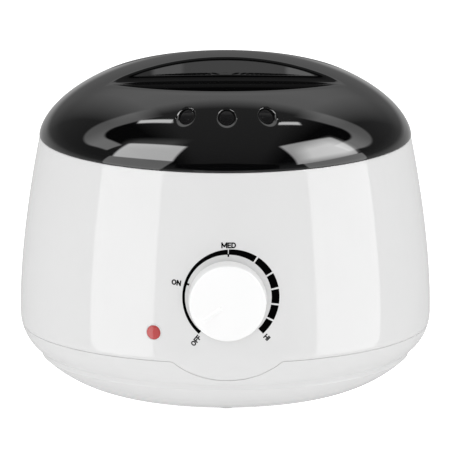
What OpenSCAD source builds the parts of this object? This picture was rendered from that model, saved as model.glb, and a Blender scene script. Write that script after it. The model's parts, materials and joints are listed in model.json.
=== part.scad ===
// Countertop wax warmer: a bowl-shaped electric heater with a lift-out pot under a domed lid.
// Millimetres, +Z up. The body's axis is Z, the feet stand on z = 0 and the knob faces -Y.

/* [Body shell] */
// Largest radius of the body
belly_r = 89; // [86:0.5:94]
// Height at which the sides start to lean in
belly_z = 38.5; // [36:0.5:42]
// Radius of the body at the lid line
rim_r = 80.6; // [79.5:0.1:82]
// Height of the lid line
rim_z = 110; // [106:0.5:116]
// How late the sides lean in, 1 for a cone
side_taper = 1.65; // [1.3:0.05:2]
// Wall of the moulded shells
wall = 2.5; // [2:0.1:3]
// Depth of the deck below the lid line
deck_drop = 7; // [6.5:0.1:9]
// Length of the collar that hangs from the deck's inner edge
collar_h = 8; // [4:0.5:14]

/* [Base shell] */
// Radius of the flat sole
sole_r = 49.3; // [46:0.1:54]
// Radius of the bowl's curve in section
bowl_curve = 55.8; // [50:0.1:70]
// Radius of the shoulder's curve above the step
shoulder_curve = 20; // [16:0.5:24]
// Height at which the shoulder ends and the straight belly starts
shoulder_z = 33; // [31:0.5:35]
// Height of the bowl's upper edge, at the step
step_z = 14.2; // [12:0.1:15]
// Height of the step
step_h = 2.3; // [1.6:0.1:3]
// How far the bowl stands back at the step
step_in = 0.7; // [0.3:0.1:1.5]
// Height of the joint between housing and base
seam_z = 28; // [26:0.5:30]
// Width of the joint line
seam_gap = 0.3; // [0.2:0.05:0.6]
// Height of the base's lip inside the housing, above the joint
lip_h = 3; // [2:0.5:5]
// Thickness of that lip
lip_t = 1.6; // [1.2:0.1:2]
// Radius of the housing's round tongue under the knob
tongue_r = 37; // [33:0.5:40]
// Rounding where the tongue meets the joint line
tongue_fillet = 3; // [2:0.5:5]

/* [Feet and fixing] */
// Radius of a rubber foot
foot_r = 6; // [5:0.5:7]
// How far the feet stand proud of the sole
foot_proud = 1; // [0.8:0.1:3]
// Depth of a foot's socket
foot_seat = 1.5; // [1:0.1:2]
// Distance of the feet from the axis
foot_ring = 41; // [39:0.5:42]
// Distance of the base screws from the axis
base_screw_ring = 38; // [36:0.5:40]
// Number of air slots in the sole
slot_count = 16; // [8:4:24]
// Radius of a screw's shank
screw_r = 1.45; // [1.2:0.05:1.6]
// Radius of a screw's head
head_r = 3; // [2.6:0.1:3.2]
// Height of a screw's head
head_h = 2; // [1.6:0.1:2.4]
// Radius of a moulded post or boss
post_r = 4; // [3.5:0.1:4.4]

/* [Lid] */
// Height of the lid above its rim
lid_h = 36.5; // [34:0.5:42]
// Radius of the lid at its rim
lid_r = 80.8; // [79.8:0.1:82.2]
// How square the dome's shoulder is, 2 for an ellipse
lid_power = 1.68; // [1.55:0.01:2.1]
// Wall of the lid
lid_wall = 2.5; // [2:0.1:3]
// Gap between the lid's rim and the housing
lid_seat = 0.2; // [0.1:0.05:0.4]
// Depth of the locating ring inside the housing's rim
locator_h = 5; // [3:0.5:5.5]
// Thickness of the locating ring
locator_t = 2; // [1.6:0.1:2.4]
// Running gap between the locating ring and the housing
locator_gap = 0.5; // [0.3:0.1:0.8]
// Width of the grip bar at its middle
grip_w = 18; // [14:0.5:24]
// Depth of the finger scoops at the foot of the grip bar
scoop_depth = 11; // [8:0.5:12]
// Radius of the grip bar's hollow sides, seen from above
scoop_curve = 211; // [150:1:400]
// Rise of the scoop's floor towards the rim, in degrees
scoop_rise = 5; // [3:0.5:7]
// Rounding at the foot of the grip bar
scoop_fillet = 3; // [2:0.5:4]
// Radius of a vent hole
vent_r = 3.4; // [2.6:0.1:4]
// Radius of a vent's flared mouth
vent_flare = 4.7; // [4.3:0.1:5.4]
// Height of the vents above the lid's rim
vent_h = 20.5; // [18:0.5:22]
// Angle between neighbouring vents
vent_pitch = 16.3; // [14:0.1:20]
// Upward tilt of the vents
vent_tilt = 15; // [10:1:25]

/* [Knob and dial] */
// Height of the knob's axis
knob_z = 56.4; // [53:0.1:60]
// Radius of the knob
knob_r = 17; // [15:0.5:18.5]
// Depth of the knob
knob_depth = 9.1; // [8:0.1:11]
// Gap between the knob and the housing
knob_gap = 0.6; // [0.4:0.1:1]
// Angle of the pointer at rest, clockwise from the top
pointer_rest = -127; // [-150:1:150]
// Radius of the spindle
spindle_r = 2.95; // [2.8:0.05:3.2]
// Running gap between the spindle and the bushing
spindle_gap = 0.08; // [0.05:0.01:0.1]
// Angle of the pilot lamp around the body from the front
lamp_angle = -20.9; // [-26:0.1:-19]
// Height of the pilot lamp
lamp_z = 40.6; // [39:0.1:46]
// Radius of the pilot lamp's lens
lens_r = 3.1; // [2.8:0.1:3.5]
// How far the lens stands proud
lens_proud = 0.7; // [0.4:0.1:1.5]

/* [Pot and chamber] */
// Outer radius of the pot below its flange
pot_r = 61.3; // [59:0.1:61.8]
// Draft of the pot, top to bottom
pot_draft = 1.6; // [1:0.1:3]
// Wall of the pot
pot_wall = 1.2; // [1:0.1:1.5]
// Width of the pot's flange
pot_flange = 9.7; // [9.2:0.1:10]
// Air gap between the pot and the chamber's wall
pot_gap = 1.2; // [0.8:0.1:1.5]
// Air gap under the pot
pot_rest = 1; // [0.6:0.1:2]
// Wall of the chamber
chamber_wall = 1.2; // [1:0.1:1.5]
// Height of the chamber's underside
chamber_z = 40.8; // [40:0.1:44]
// Thickness of the gasket under the chamber's flange
gasket_t = 1; // [0.6:0.1:1.4]
// Thickness of the heat shield's sheet
shield_t = 0.6; // [0.5:0.1:0.8]
// Air gap between the band clamp and the heat shield
shield_gap = 2.4; // [1.8:0.1:2.6]
// Radius of the bail's wire
bail_r = 1.5; // [1.2:0.1:1.6]
// Reach of the bail from its pivots
bail_reach = 56; // [50:0.5:57]
// Half the bail's span, to its corners
bail_span = 71.5; // [70.5:0.5:72]
// Running gap of the bail's ends in their ears
bail_gap = 0.08; // [0.05:0.01:0.1]

/* [Heater and wiring] */
// Height of the heater band's lower edge
heater_z = 46; // [45:0.5:50]
// Width of the heater band
heater_w = 20; // [14:0.5:22]
// Thickness of the heater band
heater_t = 2.2; // [1.6:0.1:2.4]
// Width of the band clamp
clamp_w = 10; // [8:0.5:12]
// Radius of the thermostat's body
thermo_r = 10; // [9:0.5:10.5]
// Thickness of the support frame's sheet
frame_t = 1.5; // [1.2:0.1:2]
// Height of the support frame's underside
frame_z = 34; // [33:0.1:34.5]
// Radius of an internal lead
lead_r = 1.1; // [0.9:0.05:1.2]
// Radius of the bore for the mains cord
cord_bore = 3.6; // [3:0.1:4]
// Height of the cord entry
cord_z = 43; // [42:0.5:50]
// How far the cord entry's head stands behind the body
gland_out = 9.6; // [8:0.1:12]

/* [Hidden] */
$fn = 96;

fit = 0.1;       // clearance of a piece pressed or dropped into its seat
touch = 0.02;    // least gap between two pieces that rest on each other
merge = 0.5;     // how far a moulded feature runs into the wall that it grows from
far = 260;       // longer than anything in the model

// Body outline
shoulder_r = belly_r - shoulder_curve;
shoulder_end = asin((shoulder_z - step_z - step_h) / shoulder_curve);
step_r = shoulder_r + shoulder_curve * cos(shoulder_end) - step_in;
bowl_centre = arc_centre([sole_r, 0], [step_r, step_z], bowl_curve);
bowl_end = atan2(step_r - bowl_centre[0], bowl_centre[1] - step_z);

// Radii from the pot outwards
chamber_in = pot_r + pot_gap;
chamber_out = chamber_in + chamber_wall;
band_in = chamber_out + fit;
band_out = band_in + heater_t;
clamp_t = 0.8;
clamp_in = band_out + fit;
clamp_out = clamp_in + clamp_t;
shield_in = clamp_out + shield_gap;
shield_out = shield_in + shield_t;
collar_in = shield_out + 0.7;
post_ring = shield_out + 1.4 + post_r;
flange_r = collar_in + 3.4;

// Heights of the stack on the deck
deck_z = rim_z - deck_drop;
gasket_z = deck_z + shield_t;
chamber_top = gasket_z + gasket_t + chamber_wall;
pot_seat = 0.3;
pot_top = chamber_top + pot_seat + pot_wall;
pot_floor = chamber_z + chamber_wall + pot_rest;
ear_t = 1.2;
ear_in = pot_r + pot_flange - 4;
ear_w = 10;
ear_foot = 5;
bail_z = pot_top + ear_t + 0.3 + bail_r;
bail_pin = ear_in - 2.4;
rivet_r = 1.2;
rivet_hole = rivet_r + 0.05;
rivet_at = [ear_in - 2.2, 8];

// Lid's locating ring
locator_out = rim_r - wall - locator_gap;
locator_in = locator_out - locator_t;

// Front wall, knob and thermostat
front = -wall_r(knob_z);
knob_back = -max([for (z = [knob_z - knob_r : 2 : knob_z + knob_r]) wall_r(z)]) - knob_gap;
knob_face = knob_back - knob_depth;
thermo_in = -(clamp_out + 1.3);
thermo_t = 9.4;
bracket_t = 1.2;
bracket_in = thermo_in - thermo_t;
bracket_out = bracket_in - bracket_t;
bushing_r = 4;
bracket_span = thermo_r + 5.5;
bracket_w = bracket_span + 5;
bracket_h = thermo_r - 1;
window_w = thermo_r + 5;
window_z = [heater_z - 2, knob_z + thermo_r + 2];

// Support frame and base
frame_top = frame_z + frame_t;
lip_root = knob_z - tongue_r - seam_gap - 0.6;
floor_pad = 4;
block = [30, 15, 12];
block_z = 5;
block_screw_x = block[0] / 2 - 2.6;
terminal_x = [-9, 0, 9];
terminal_y = [-4, 4];
well_r = head_r + 0.5;
well_z = frame_z - 8;
frame_screw = 10;
stud_r = 2;
stud_low = frame_z - 6;
nut_z = frame_z - 4.1;
tag_len = 12;
slot_ring = 26;
slot_len = 8;
slot_w = 2.2;
arm_w = 13;

// Lugs and screw of the band clamp
lug_x = 3;
lug_t = 1.2;
lug_h = 10;
clamp_screw_y = clamp_in + 6;
clamp_screw_z = heater_z + heater_w / 2 + 1;

// Sleeve of the cord entry
sleeve_len = 9;
sleeve_room = 0.8;
sleeve_step = 0.6;

// Points of the internal leads, from terminal to terminal
lead_y = block[1] / 2;
lead_z = block_z + 5;
thermo_pin = [6, thermo_in - thermo_t / 2, knob_z - thermo_r - 5];
heater_pin = [12, shield_out + 3, heater_z + heater_w / 2];
fuse_at = [0, -34, chamber_z - 2.2];
lamp_in = wall_r(lamp_z) - 14;
lead_gap = 0.2;
heater_end = [heater_pin[0], heater_pin[1] - 1.5, heater_z + 3 - 1.3 - lead_gap];
low = well_z;

// Centre of the circle of radius r through p and q, on the inner, upper side
function arc_centre(p, q, r) =
    let (m = (p + q) / 2, d = q - p, h = sqrt(r * r - d * d / 4), n = [-d[1], d[0]] / norm(d))
    m + h * n;

// Outer radius of the upper body at height z
function upper_r(z) = z <= belly_z ? belly_r
    : belly_r - (belly_r - rim_r) * pow((z - belly_z) / (rim_z - belly_z), side_taper);

// Outer radius of the body at any height
function wall_r(z) = z >= shoulder_z ? upper_r(z)
    : z > step_z ? shoulder_r + sqrt(pow(shoulder_curve, 2) - pow(shoulder_z - z, 2))
    : bowl_centre[0] + sqrt(pow(bowl_curve, 2) - pow(bowl_centre[1] - z, 2));

// Outline of the body moved inwards by o, from the sole to height top
function bowl_line(o) = let (a = acos((bowl_centre[1] - o) / (bowl_curve - o)))
    [for (i = [0:10]) let (b = a + (bowl_end - a) * i / 10)
        bowl_centre + (bowl_curve - o) * [sin(b), -cos(b)]];
function shoulder_line(o) = [for (i = [0:8]) let (b = shoulder_end * (1 - i / 8))
    [shoulder_r + (shoulder_curve - o) * cos(b), shoulder_z - (shoulder_curve - o) * sin(b)]];
function side_line(o, top) = [for (i = [0:16]) let (z = belly_z + (top - belly_z) * i / 16)
    [upper_r(z) - o, z]];
function body_line(o, top) = concat(bowl_line(o), shoulder_line(o), side_line(o, top));

// Everything inside the body's outline moved inwards by o
module body_fill(o, top = rim_z)
    rotate_extrude() polygon(concat([[0, o]], body_line(o, top), [[0, top]]));

// A ring with a square section
module ring(r_in, r_out, z0, z1)
    rotate_extrude() translate([r_in, z0]) square([r_out - r_in, z1 - z0]);

// Copies at n even places round the axis, the first at angle a
module around(n, a = 0) for (i = [0 : n - 1]) rotate([0, 0, a + 360 * i / n]) children();

// A cylinder along Y between two y places, standing at [x, z]
module y_rod(r, x, z, y0, y1) translate([x, max(y0, y1), z]) rotate([90, 0, 0]) cylinder(r = r, h = abs(y1 - y0));

// A slotted pan-head screw, point up, its head's bearing face at z = 0
module screw(length, r = screw_r, head = head_r, h = head_h) {
    cylinder(r = r, h = length, $fn = 32);
    difference() {
        translate([0, 0, -h]) cylinder(r1 = head * 0.8, r2 = head, h = h, $fn = 32);
        translate([-head, -0.4, -h - 1]) cube([2 * head, 0.8, 1.8]);
    }
}

// The tongue's outline grown by g: a round end below the joint line, with filleted corners
module tongue_outline(g) {
    r = tongue_r + g;
    f = tongue_fillet - g;
    z = seam_z - g;
    x = sqrt(pow(r + f, 2) - pow(knob_z - z + f, 2));
    b = atan2(z - f - knob_z, x);
    corner = concat([[x, z]], [for (i = [1:5]) let (t = 90 + (90 + b) * i / 6)
        [x + f * cos(t), z - f + f * sin(t)]]);
    polygon(concat([[x, knob_z]], corner,
        [for (i = [0:24]) let (t = b - (180 + 2 * b) * i / 24) [r * cos(t), knob_z + r * sin(t)]],
        [for (i = [5:-1:0]) [-corner[i][0], corner[i][1]]], [[-x, knob_z]]));
}

// Everything above the joint line, with the round tongue in front, grown by g
module above_seam(g) {
    translate([-far / 2, -far / 2, seam_z - g]) cube([far, far, far / 2]);
    translate([0, -belly_r / 2, 0]) rotate([90, 0, 0]) linear_extrude(height = belly_r) tongue_outline(g);
}

// Upper shell with its deck, collar, posts and bosses
module housing() color("whitesmoke") difference() {
    union() {
        intersection() {
            difference() {
                body_fill(0);
                body_fill(wall, rim_z + 1);
            }
            above_seam(0);
        }
        intersection() {
            body_fill(wall - merge);
            union() {
                ring(collar_in, belly_r, deck_z - wall, deck_z);
                around(4, 45) {
                    translate([post_ring, 0, frame_top + touch]) cylinder(r = post_r, h = deck_z - 1 - frame_top);
                    translate([post_ring, -1.2, frame_top + touch])
                        cube([belly_r - post_ring, 2.4, deck_z - 1 - frame_top]);
                }
                for (x = [-bracket_span, bracket_span])
                    y_rod(post_r, x, knob_z, bracket_out - touch, front);
                rotate([0, 0, lamp_angle]) y_rod(lens_r + 2, 0, lamp_z, -lamp_in - 3, -belly_r);
            }
        }
        ring(collar_in, collar_in + 2, deck_z - collar_h, deck_z);
    }
    around(4, 45) translate([post_ring, 0, frame_z])
        cylinder(r = screw_r + 0.05, h = frame_screw + 4, $fn = 32);
    for (x = [-bracket_span, bracket_span]) y_rod(screw_r + 0.05, x, knob_z, bracket_out + 1, bracket_out - 6);
    y_rod(spindle_r + 1.5, 0, knob_z, front + 12, front - 5);
    rotate([0, 0, lamp_angle]) y_rod(lens_r + fit, 0, lamp_z, -lamp_in + 1, -belly_r - 2);
    y_rod(cord_bore + 1.9, 0, cord_z, belly_r - 12, belly_r + 5);
}

// Points of the shoulder moved inwards by o, from height z0 to z1
function shoulder_part(o, z0, z1) = [for (i = [0:5])
    let (z = z0 + (z1 - z0) * i / 5)
    [shoulder_r + sqrt(pow(shoulder_curve - o, 2) - pow(shoulder_z - z, 2)), z]];

// Lower shell with its lip, screw posts, foot sockets and air slots
module base() color("whitesmoke") difference() {
    lip_o = wall + seam_gap;
    lip_top = seam_z + lip_h;
    lip_line = shoulder_part(lip_o, lip_root, lip_top);
    skin_top = seam_z - seam_gap;
    skin_in = shoulder_part(lip_o + 0.4, lip_root, skin_top);
    union() {
        rotate_extrude() polygon(concat([[0, 0]], bowl_line(0),
            shoulder_part(0, step_z + step_h, lip_root), lip_line, [lip_line[5] - [lip_t, 0]],
            [for (i = [8:-1:0]) bowl_line(wall)[i]], [[0, wall]]));
        difference() {
            rotate_extrude() polygon(concat(shoulder_part(0, lip_root, skin_top),
                [for (i = [5:-1:0]) skin_in[i]]));
            translate([0, -belly_r / 2, 0]) rotate([90, 0, 0]) linear_extrude(height = belly_r)
                tongue_outline(seam_gap);
        }
        around(4, 45) translate([base_screw_ring, 0, wall - merge])
            cylinder(r = well_r + 1.5, h = frame_z - touch - wall + merge);
        around(4) translate([foot_ring, 0, wall - merge]) cylinder(r = foot_r + 2, h = floor_pad - wall + merge);
        for (x = [-block_screw_x, block_screw_x]) translate([x, 0, wall - merge])
            cylinder(r = post_r - 0.5, h = block_z - touch - wall + merge);
    }
    around(4, 45) translate([base_screw_ring, 0, -1]) {
        cylinder(r = well_r, h = well_z + 1, $fn = 32);
        cylinder(r = screw_r + 0.2, h = far, $fn = 32);
    }
    around(4) translate([foot_ring, 0, -1]) cylinder(r = foot_r + fit, h = foot_seat + 1);
    for (i = [0 : slot_count - 1]) let (a = 360 * (i + 0.5) / slot_count)
        if (abs(sin(2 * a)) < 0.9) rotate([0, 0, a]) translate([slot_ring, 0, -1]) {
            translate([-slot_len / 2, -slot_w / 2, 0]) cube([slot_len, slot_w, wall + 2]);
            for (x = [-slot_len / 2, slot_len / 2]) translate([x, 0, 0])
                cylinder(r = slot_w / 2, h = wall + 2, $fn = 24);
        }
    for (x = [-block_screw_x, block_screw_x]) translate([x, 0, wall / 2])
        cylinder(r = 1.05, h = block_z, $fn = 24);
}

module rubber_feet() color("dimgray") around(4) translate([foot_ring, 0, -foot_proud]) {
    cylinder(r1 = foot_r - 0.5, r2 = foot_r, h = 0.5);
    translate([0, 0, 0.5]) cylinder(r = foot_r, h = foot_proud + foot_seat - touch - 0.5);
}

module base_screws() color("silver") around(4, 45)
    translate([base_screw_ring, 0, well_z - touch]) screw(frame_z - well_z + 4);

// Sheet-steel spider that ties the chamber, the housing's posts and the base's posts together
module support_frame() color("lightsteelblue") difference() {
    translate([0, 0, frame_z]) {
        cylinder(r = 24, h = frame_t);
        around(4, 45) {
            translate([0, -arm_w / 2, 0]) cube([post_ring, arm_w, frame_t]);
            translate([post_ring, 0, 0]) cylinder(r = arm_w / 2, h = frame_t);
        }
    }
    translate([0, 0, frame_z - 1]) {
        cylinder(r = stud_r + 0.2, h = frame_t + 2, $fn = 32);
        around(4, 45) translate([post_ring, 0, 0]) cylinder(r = screw_r + 0.2, h = frame_t + 2, $fn = 32);
        around(4, 45) translate([base_screw_ring, 0, 0]) cylinder(r = screw_r + 0.05, h = frame_t + 2, $fn = 32);
        around(4) translate([15, 0, 0]) cylinder(r = 4, h = frame_t + 2);
    }
}

module frame_screws() color("silver") around(4, 45) translate([post_ring, 0, frame_z - touch]) screw(frame_screw);

// Fixed aluminium well, with the stud that holds it down
module heating_chamber() color("gainsboro") {
    corner = 8;
    rotate_extrude() polygon(concat(
        [[0, chamber_z], [chamber_out - corner, chamber_z]],
        [for (i = [1:6]) let (b = 15 * i)
            [chamber_out - corner + corner * sin(b), chamber_z + corner - corner * cos(b)]],
        [[chamber_out, chamber_top - chamber_wall], [flange_r, chamber_top - chamber_wall],
         [flange_r, chamber_top], [chamber_in, chamber_top]],
        [for (i = [6:-1:0]) let (b = 15 * i, c = corner - chamber_wall)
            [chamber_in - c + c * sin(b), chamber_z + corner - c * cos(b)]],
        [[0, chamber_z + chamber_wall]]));
    translate([0, 0, stud_low]) cylinder(r = stud_r, h = chamber_z + merge - stud_low, $fn = 32);
}

module chamber_gasket() color("firebrick")
    ring(shield_out + 0.6, flange_r - 0.4, gasket_z + touch, chamber_top - chamber_wall - touch);

module chamber_spacer() color("ivory") ring(stud_r + 0.2, stud_r + 4, frame_top + touch, chamber_z - touch);

module chamber_nut() color("silver") {
    ring(stud_r + 0.1, stud_r + 2.5, frame_z - 0.8 - touch, frame_z - touch);
    difference() {
        translate([0, 0, nut_z]) cylinder(r = 2 * stud_r + 0.04, h = 3.2, $fn = 6);
        translate([0, 0, nut_z - 1]) cylinder(r = stud_r + 0.05, h = 5, $fn = 32);
    }
}

// Thin can round the heater, hung from the deck, open at front and back
module heat_shield() color("lightgray") difference() {
    union() {
        ring(shield_in, shield_out, heater_z - 3, gasket_z);
        ring(shield_in, flange_r, deck_z + touch, gasket_z);
    }
    translate([-window_w, -far / 2, window_z[0]]) cube([2 * window_w, far, window_z[1] - window_z[0]]);
}

module heater_band() color("peru") {
    difference() {
        ring(band_in, band_out, heater_z, heater_z + heater_w);
        translate([-4, 0, heater_z - 1]) cube([8, far, heater_w + 2]);
    }
    for (x = [-heater_pin[0], heater_pin[0]])
        y_rod(1.3, x, heater_z + 3, sqrt(pow(band_out, 2) - pow(x, 2)) - 1, heater_pin[1]);
}

module band_clamp() color("silver") {
    z = clamp_screw_z - clamp_w / 2;
    difference() {
        union() {
            difference() {
                ring(clamp_in, clamp_out, z, z + clamp_w);
                translate([-lug_x + lug_t / 2, 0, z - 1]) cube([2 * lug_x - lug_t, far, clamp_w + 2]);
            }
            for (x = [-lug_x, lug_x]) translate([x - lug_t / 2, clamp_in + fit, z]) cube([lug_t, lug_h, clamp_w]);
        }
        translate([-far / 2, clamp_screw_y, clamp_screw_z]) rotate([0, 90, 0])
            cylinder(r = screw_r + 0.25, h = far, $fn = 32);
    }
}

module clamp_screw() color("gray") translate([0, clamp_screw_y, clamp_screw_z]) rotate([0, 90, 0]) {
    x = lug_x + lug_t / 2 + touch;
    translate([0, 0, -x]) screw(2 * x + 4.8);
    difference() {
        translate([0, 0, x]) cylinder(r = 2 * screw_r + 0.2, h = 2.2, $fn = 6);
        translate([0, 0, lug_x]) cylinder(r = screw_r, h = 4, $fn = 32);
    }
}

module thermal_fuse() color("darkgray") translate(fuse_at) rotate([0, 90, 0]) {
    translate([0, 0, -6]) cylinder(r = 2, h = 12, $fn = 32);
    translate([0, 0, -8]) cylinder(r = 0.9, h = 16, $fn = 24);
}

// Saddle that presses the fuse against the chamber's underside
module fuse_clip() color("silver") difference() {
    translate(fuse_at) {
        rotate([0, 90, 0]) translate([0, 0, -3]) cylinder(r = 2.8, h = 6, $fn = 32);
        for (s = [-1, 1]) translate([-3, s * 5 - 3, 1.4]) cube([6, 6, 0.8 - touch]);
    }
    translate(fuse_at) {
        rotate([0, 90, 0]) translate([0, 0, -4]) cylinder(r = 2.1, h = 8, $fn = 32);
        translate([-4, -2.1, 0]) cube([8, 4.2, 4]);
        translate([-4, -9, 2.2 - touch]) cube([8, 18, 4]);
    }
}

// Rotary thermostat: its disc body, threaded bushing and two tabs
module thermostat_body() color("darkslategray") difference() {
    union() {
        y_rod(thermo_r, 0, knob_z, bracket_in + touch, thermo_in);
        y_rod(bushing_r, 0, knob_z, bracket_in + 1, bracket_out - 5);
        for (x = [-thermo_pin[0], thermo_pin[0]])
            translate([x - 1.6, thermo_pin[1] - 0.4, thermo_pin[2]]) cube([3.2, 0.8, thermo_r]);
    }
    y_rod(spindle_r + spindle_gap, 0, knob_z, thermo_in - 3, bracket_out - 6);
}

module thermostat_nut() color("silver") difference() {
    translate([0, bracket_out - touch, knob_z]) rotate([90, 0, 0]) cylinder(r = 6.4, h = 2.4, $fn = 6);
    y_rod(bushing_r + 0.05, 0, knob_z, bracket_out + 1, bracket_out - 4);
}

module thermostat_bracket() color("lightsteelblue") difference() {
    translate([-bracket_w, bracket_out, knob_z - bracket_h]) cube([2 * bracket_w, bracket_t, 2 * bracket_h]);
    y_rod(bushing_r + fit, 0, knob_z, bracket_out - 1, bracket_in + 1);
    for (x = [-bracket_span, bracket_span])
        y_rod(screw_r + 0.2, x, knob_z, bracket_out - 1, bracket_in + 1);
}

module bracket_screws() color("silver") for (x = [-bracket_span, bracket_span])
    translate([x, bracket_in + touch, knob_z]) rotate([90, 0, 0]) screw(6.5);

// Spindle with a flat where the knob sits
module thermostat_spindle() color("silver") difference() {
    y_rod(spindle_r, 0, knob_z, thermo_in - 3.2, knob_face + 2.4);
    rotate_knob() translate([-far / 2, knob_face + 2, spindle_r - 0.9]) cube([far, knob_depth - 2.4, far]);
}

// Turns a knob drawn with its pointer up to the pointer's place at rest
module rotate_knob() translate([0, 0, knob_z]) rotate([0, pointer_rest, 0]) children();

module knob() color("white") {
    edge = 1.4;
    rotate_knob() rotate([90, 0, 0]) difference() {
        union() {
            difference() {
                rotate_extrude() polygon(concat(
                    [[0, -knob_back], [knob_r, -knob_back]],
                    [for (i = [0:6]) let (b = 15 * i)
                        [knob_r - 0.5 - edge + edge * cos(b), -knob_face - edge + edge * sin(b)]],
                    [[0, -knob_face]]));
                translate([0, 0, -knob_back - 1]) cylinder(r = knob_r - 2.2, h = knob_depth - 1.2);
            }
            translate([0, 0, -knob_back]) cylinder(r = spindle_r + 2.2, h = knob_depth - 1);
            around(4) translate([0, -0.6, -knob_back + 2]) cube([knob_r - 1.5, 1.2, knob_depth - 3]);
            translate([-0.8, 3, -knob_face - 0.5]) cube([1.6, knob_r - 6.5, 0.9]);
        }
        difference() {
            translate([0, 0, -knob_back - 1]) cylinder(r = spindle_r + 0.05, h = knob_depth - 1.2, $fn = 48);
            translate([-far / 2, spindle_r - 0.85, -knob_back + 0.4]) cube([far, far, knob_depth]);
        }
    }
}

module pilot_lens() color("indianred") rotate([0, 0, lamp_angle]) {
    out = wall_r(lamp_z) + lens_proud;
    translate([0, 0, lamp_z]) rotate([90, 0, 0]) difference() {
        rotate_extrude() polygon(concat([[0, lamp_in + 3.6], [lens_r, lamp_in + 3.6]],
            [for (i = [0:5]) let (b = 18 * i) [lens_r - 0.6 + 0.6 * cos(b), out - 0.6 + 0.6 * sin(b)]],
            [[0, out]]));
        translate([0, 0, lamp_in]) cylinder(r = lens_r - 0.7, h = out - lamp_in - 3, $fn = 32);
    }
}

module neon_lamp() color("mistyrose") rotate([0, 0, lamp_angle]) {
    y_rod(lens_r - 0.9, 0, lamp_z, -lamp_in, -lamp_in - 9);
    translate([0, -lamp_in - 9, lamp_z]) sphere(r = lens_r - 0.9, $fn = 32);
}

module lamp_retainer() color("black") rotate([0, 0, lamp_angle]) difference() {
    y_rod(lens_r + 2, 0, lamp_z, -lamp_in - 0.6, -lamp_in - 3 + touch);
    y_rod(lens_r - 0.85, 0, lamp_z, -lamp_in + 1, -lamp_in - 5);
}

// Bush for the mains cord: head outside, threaded sleeve inside, wider than the head's bore
module cord_gland() color("black") difference() {
    out = wall_r(cord_z);
    union() {
        y_rod(cord_bore + 1.8, 0, cord_z, out - sleeve_len, out + 1);
        translate([0, out + gland_out, cord_z]) rotate([90, 0, 0]) rotate_extrude()
            polygon([[0, 0], [cord_bore + 2, 0], [cord_bore + 2.6, 0.8], [cord_bore + 3.6, gland_out - 3],
                [cord_bore + 4.4, gland_out - 2.4], [cord_bore + 4.4, gland_out - 0.1], [0, gland_out - 0.1]]);
    }
    y_rod(cord_bore, 0, cord_z, out - sleeve_len - 1, out + gland_out + 1);
    y_rod(cord_bore + sleeve_room, 0, cord_z, out - sleeve_len - 1, out + sleeve_step);
}

module gland_nut() color("black") difference() {
    in = wall_r(cord_z) - wall - 0.5;
    translate([0, in, cord_z]) rotate([90, 0, 0]) cylinder(r = cord_bore + 4.6, h = 3.4, $fn = 6);
    y_rod(cord_bore + 1.85, 0, cord_z, in - 5, in + 1);
}

module terminal_block() color("ivory") difference() {
    translate([-block[0] / 2, -block[1] / 2, block_z]) cube(block);
    for (x = terminal_x) translate([x, 0, 0]) {
        y_rod(1.9, 0, lead_z, -block[1], block[1]);
        for (y = terminal_y) translate([0, y, lead_z]) cylinder(r = 1.8, h = block[2], $fn = 24);
    }
    for (x = [-block_screw_x, block_screw_x]) translate([x, 0, 0]) cylinder(r = 1.2, h = far, $fn = 24);
}

module block_screws() color("silver") for (x = [-block_screw_x, block_screw_x])
    translate([x, 0, block_z + block[2] + touch])
        rotate([180, 0, 0]) screw(block[2] + 2.6, 1, 2, 1.2);

module terminal_screws() color("goldenrod") for (x = terminal_x, y = terminal_y)
    translate([x, y, lead_z + 2.1]) difference() {
        cylinder(r = 1.7, h = block[2] - 8, $fn = 24);
        translate([-2, -0.3, block[2] - 9]) cube([4, 0.6, 2]);
    }

module earth_tag() color("goldenrod") difference() {
    union() {
        translate([0, 0, nut_z - 0.8 - touch]) cylinder(r = stud_r + 1.6, h = 0.8);
        translate([-1.6, 0, nut_z - 0.8 - touch]) cube([3.2, tag_len, 0.8]);
    }
    translate([0, 0, nut_z - 5]) cylinder(r = stud_r + 0.05, h = far, $fn = 32);
}

// A round lead of radius lead_r through the given points, with flat ends
function unit(v) = v / norm(v);
function spline(p, i, t) = let (n = len(p) - 1,
    a = p[max(i - 1, 0)], b = p[i], c = p[i + 1], d = p[min(i + 2, n)])
    b + 0.5 * t * (c - a + t * (2 * a - 5 * b + 4 * c - d + t * (3 * b - a - 3 * c + d)));
function smooth(p, n) = concat([for (i = [0 : len(p) - 2], j = [0 : n - 1]) spline(p, i, j / n)], [p[len(p) - 1]]);
function tangent(p, i) = i == 0 ? unit(p[1] - p[0]) : i == len(p) - 1 ? unit(p[i] - p[i - 1])
    : unit(unit(p[i + 1] - p[i]) + unit(p[i] - p[i - 1]));
function normals(p, i, u) = i == len(p) ? [] :
    let (t = tangent(p, i), v = unit(u - (u * t) * t)) concat([v], normals(p, i + 1, v));
module lead(points, start) {
    sides = 8;
    p = smooth(points, 3);
    n = len(p);
    u = normals(p, 0, start);
    rings = [for (i = [0 : n - 1], k = [0 : sides - 1])
        let (v = cross(tangent(p, i), u[i]), a = 360 * k / sides) p[i] + lead_r * (cos(a) * u[i] + sin(a) * v)];
    polyhedron(points = rings, faces = concat(
        [[for (k = [0 : sides - 1]) k]],
        [for (i = [0 : n - 2], k = [0 : sides - 1])
            let (a = i * sides + k, b = i * sides + (k + 1) % sides) [a, a + sides, b]],
        [for (i = [0 : n - 2], k = [0 : sides - 1])
            let (a = i * sides + k, b = i * sides + (k + 1) % sides) [b, a + sides, b + sides]],
        [[for (k = [sides - 1 : -1 : 0]) (n - 1) * sides + k]]));
}

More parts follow.
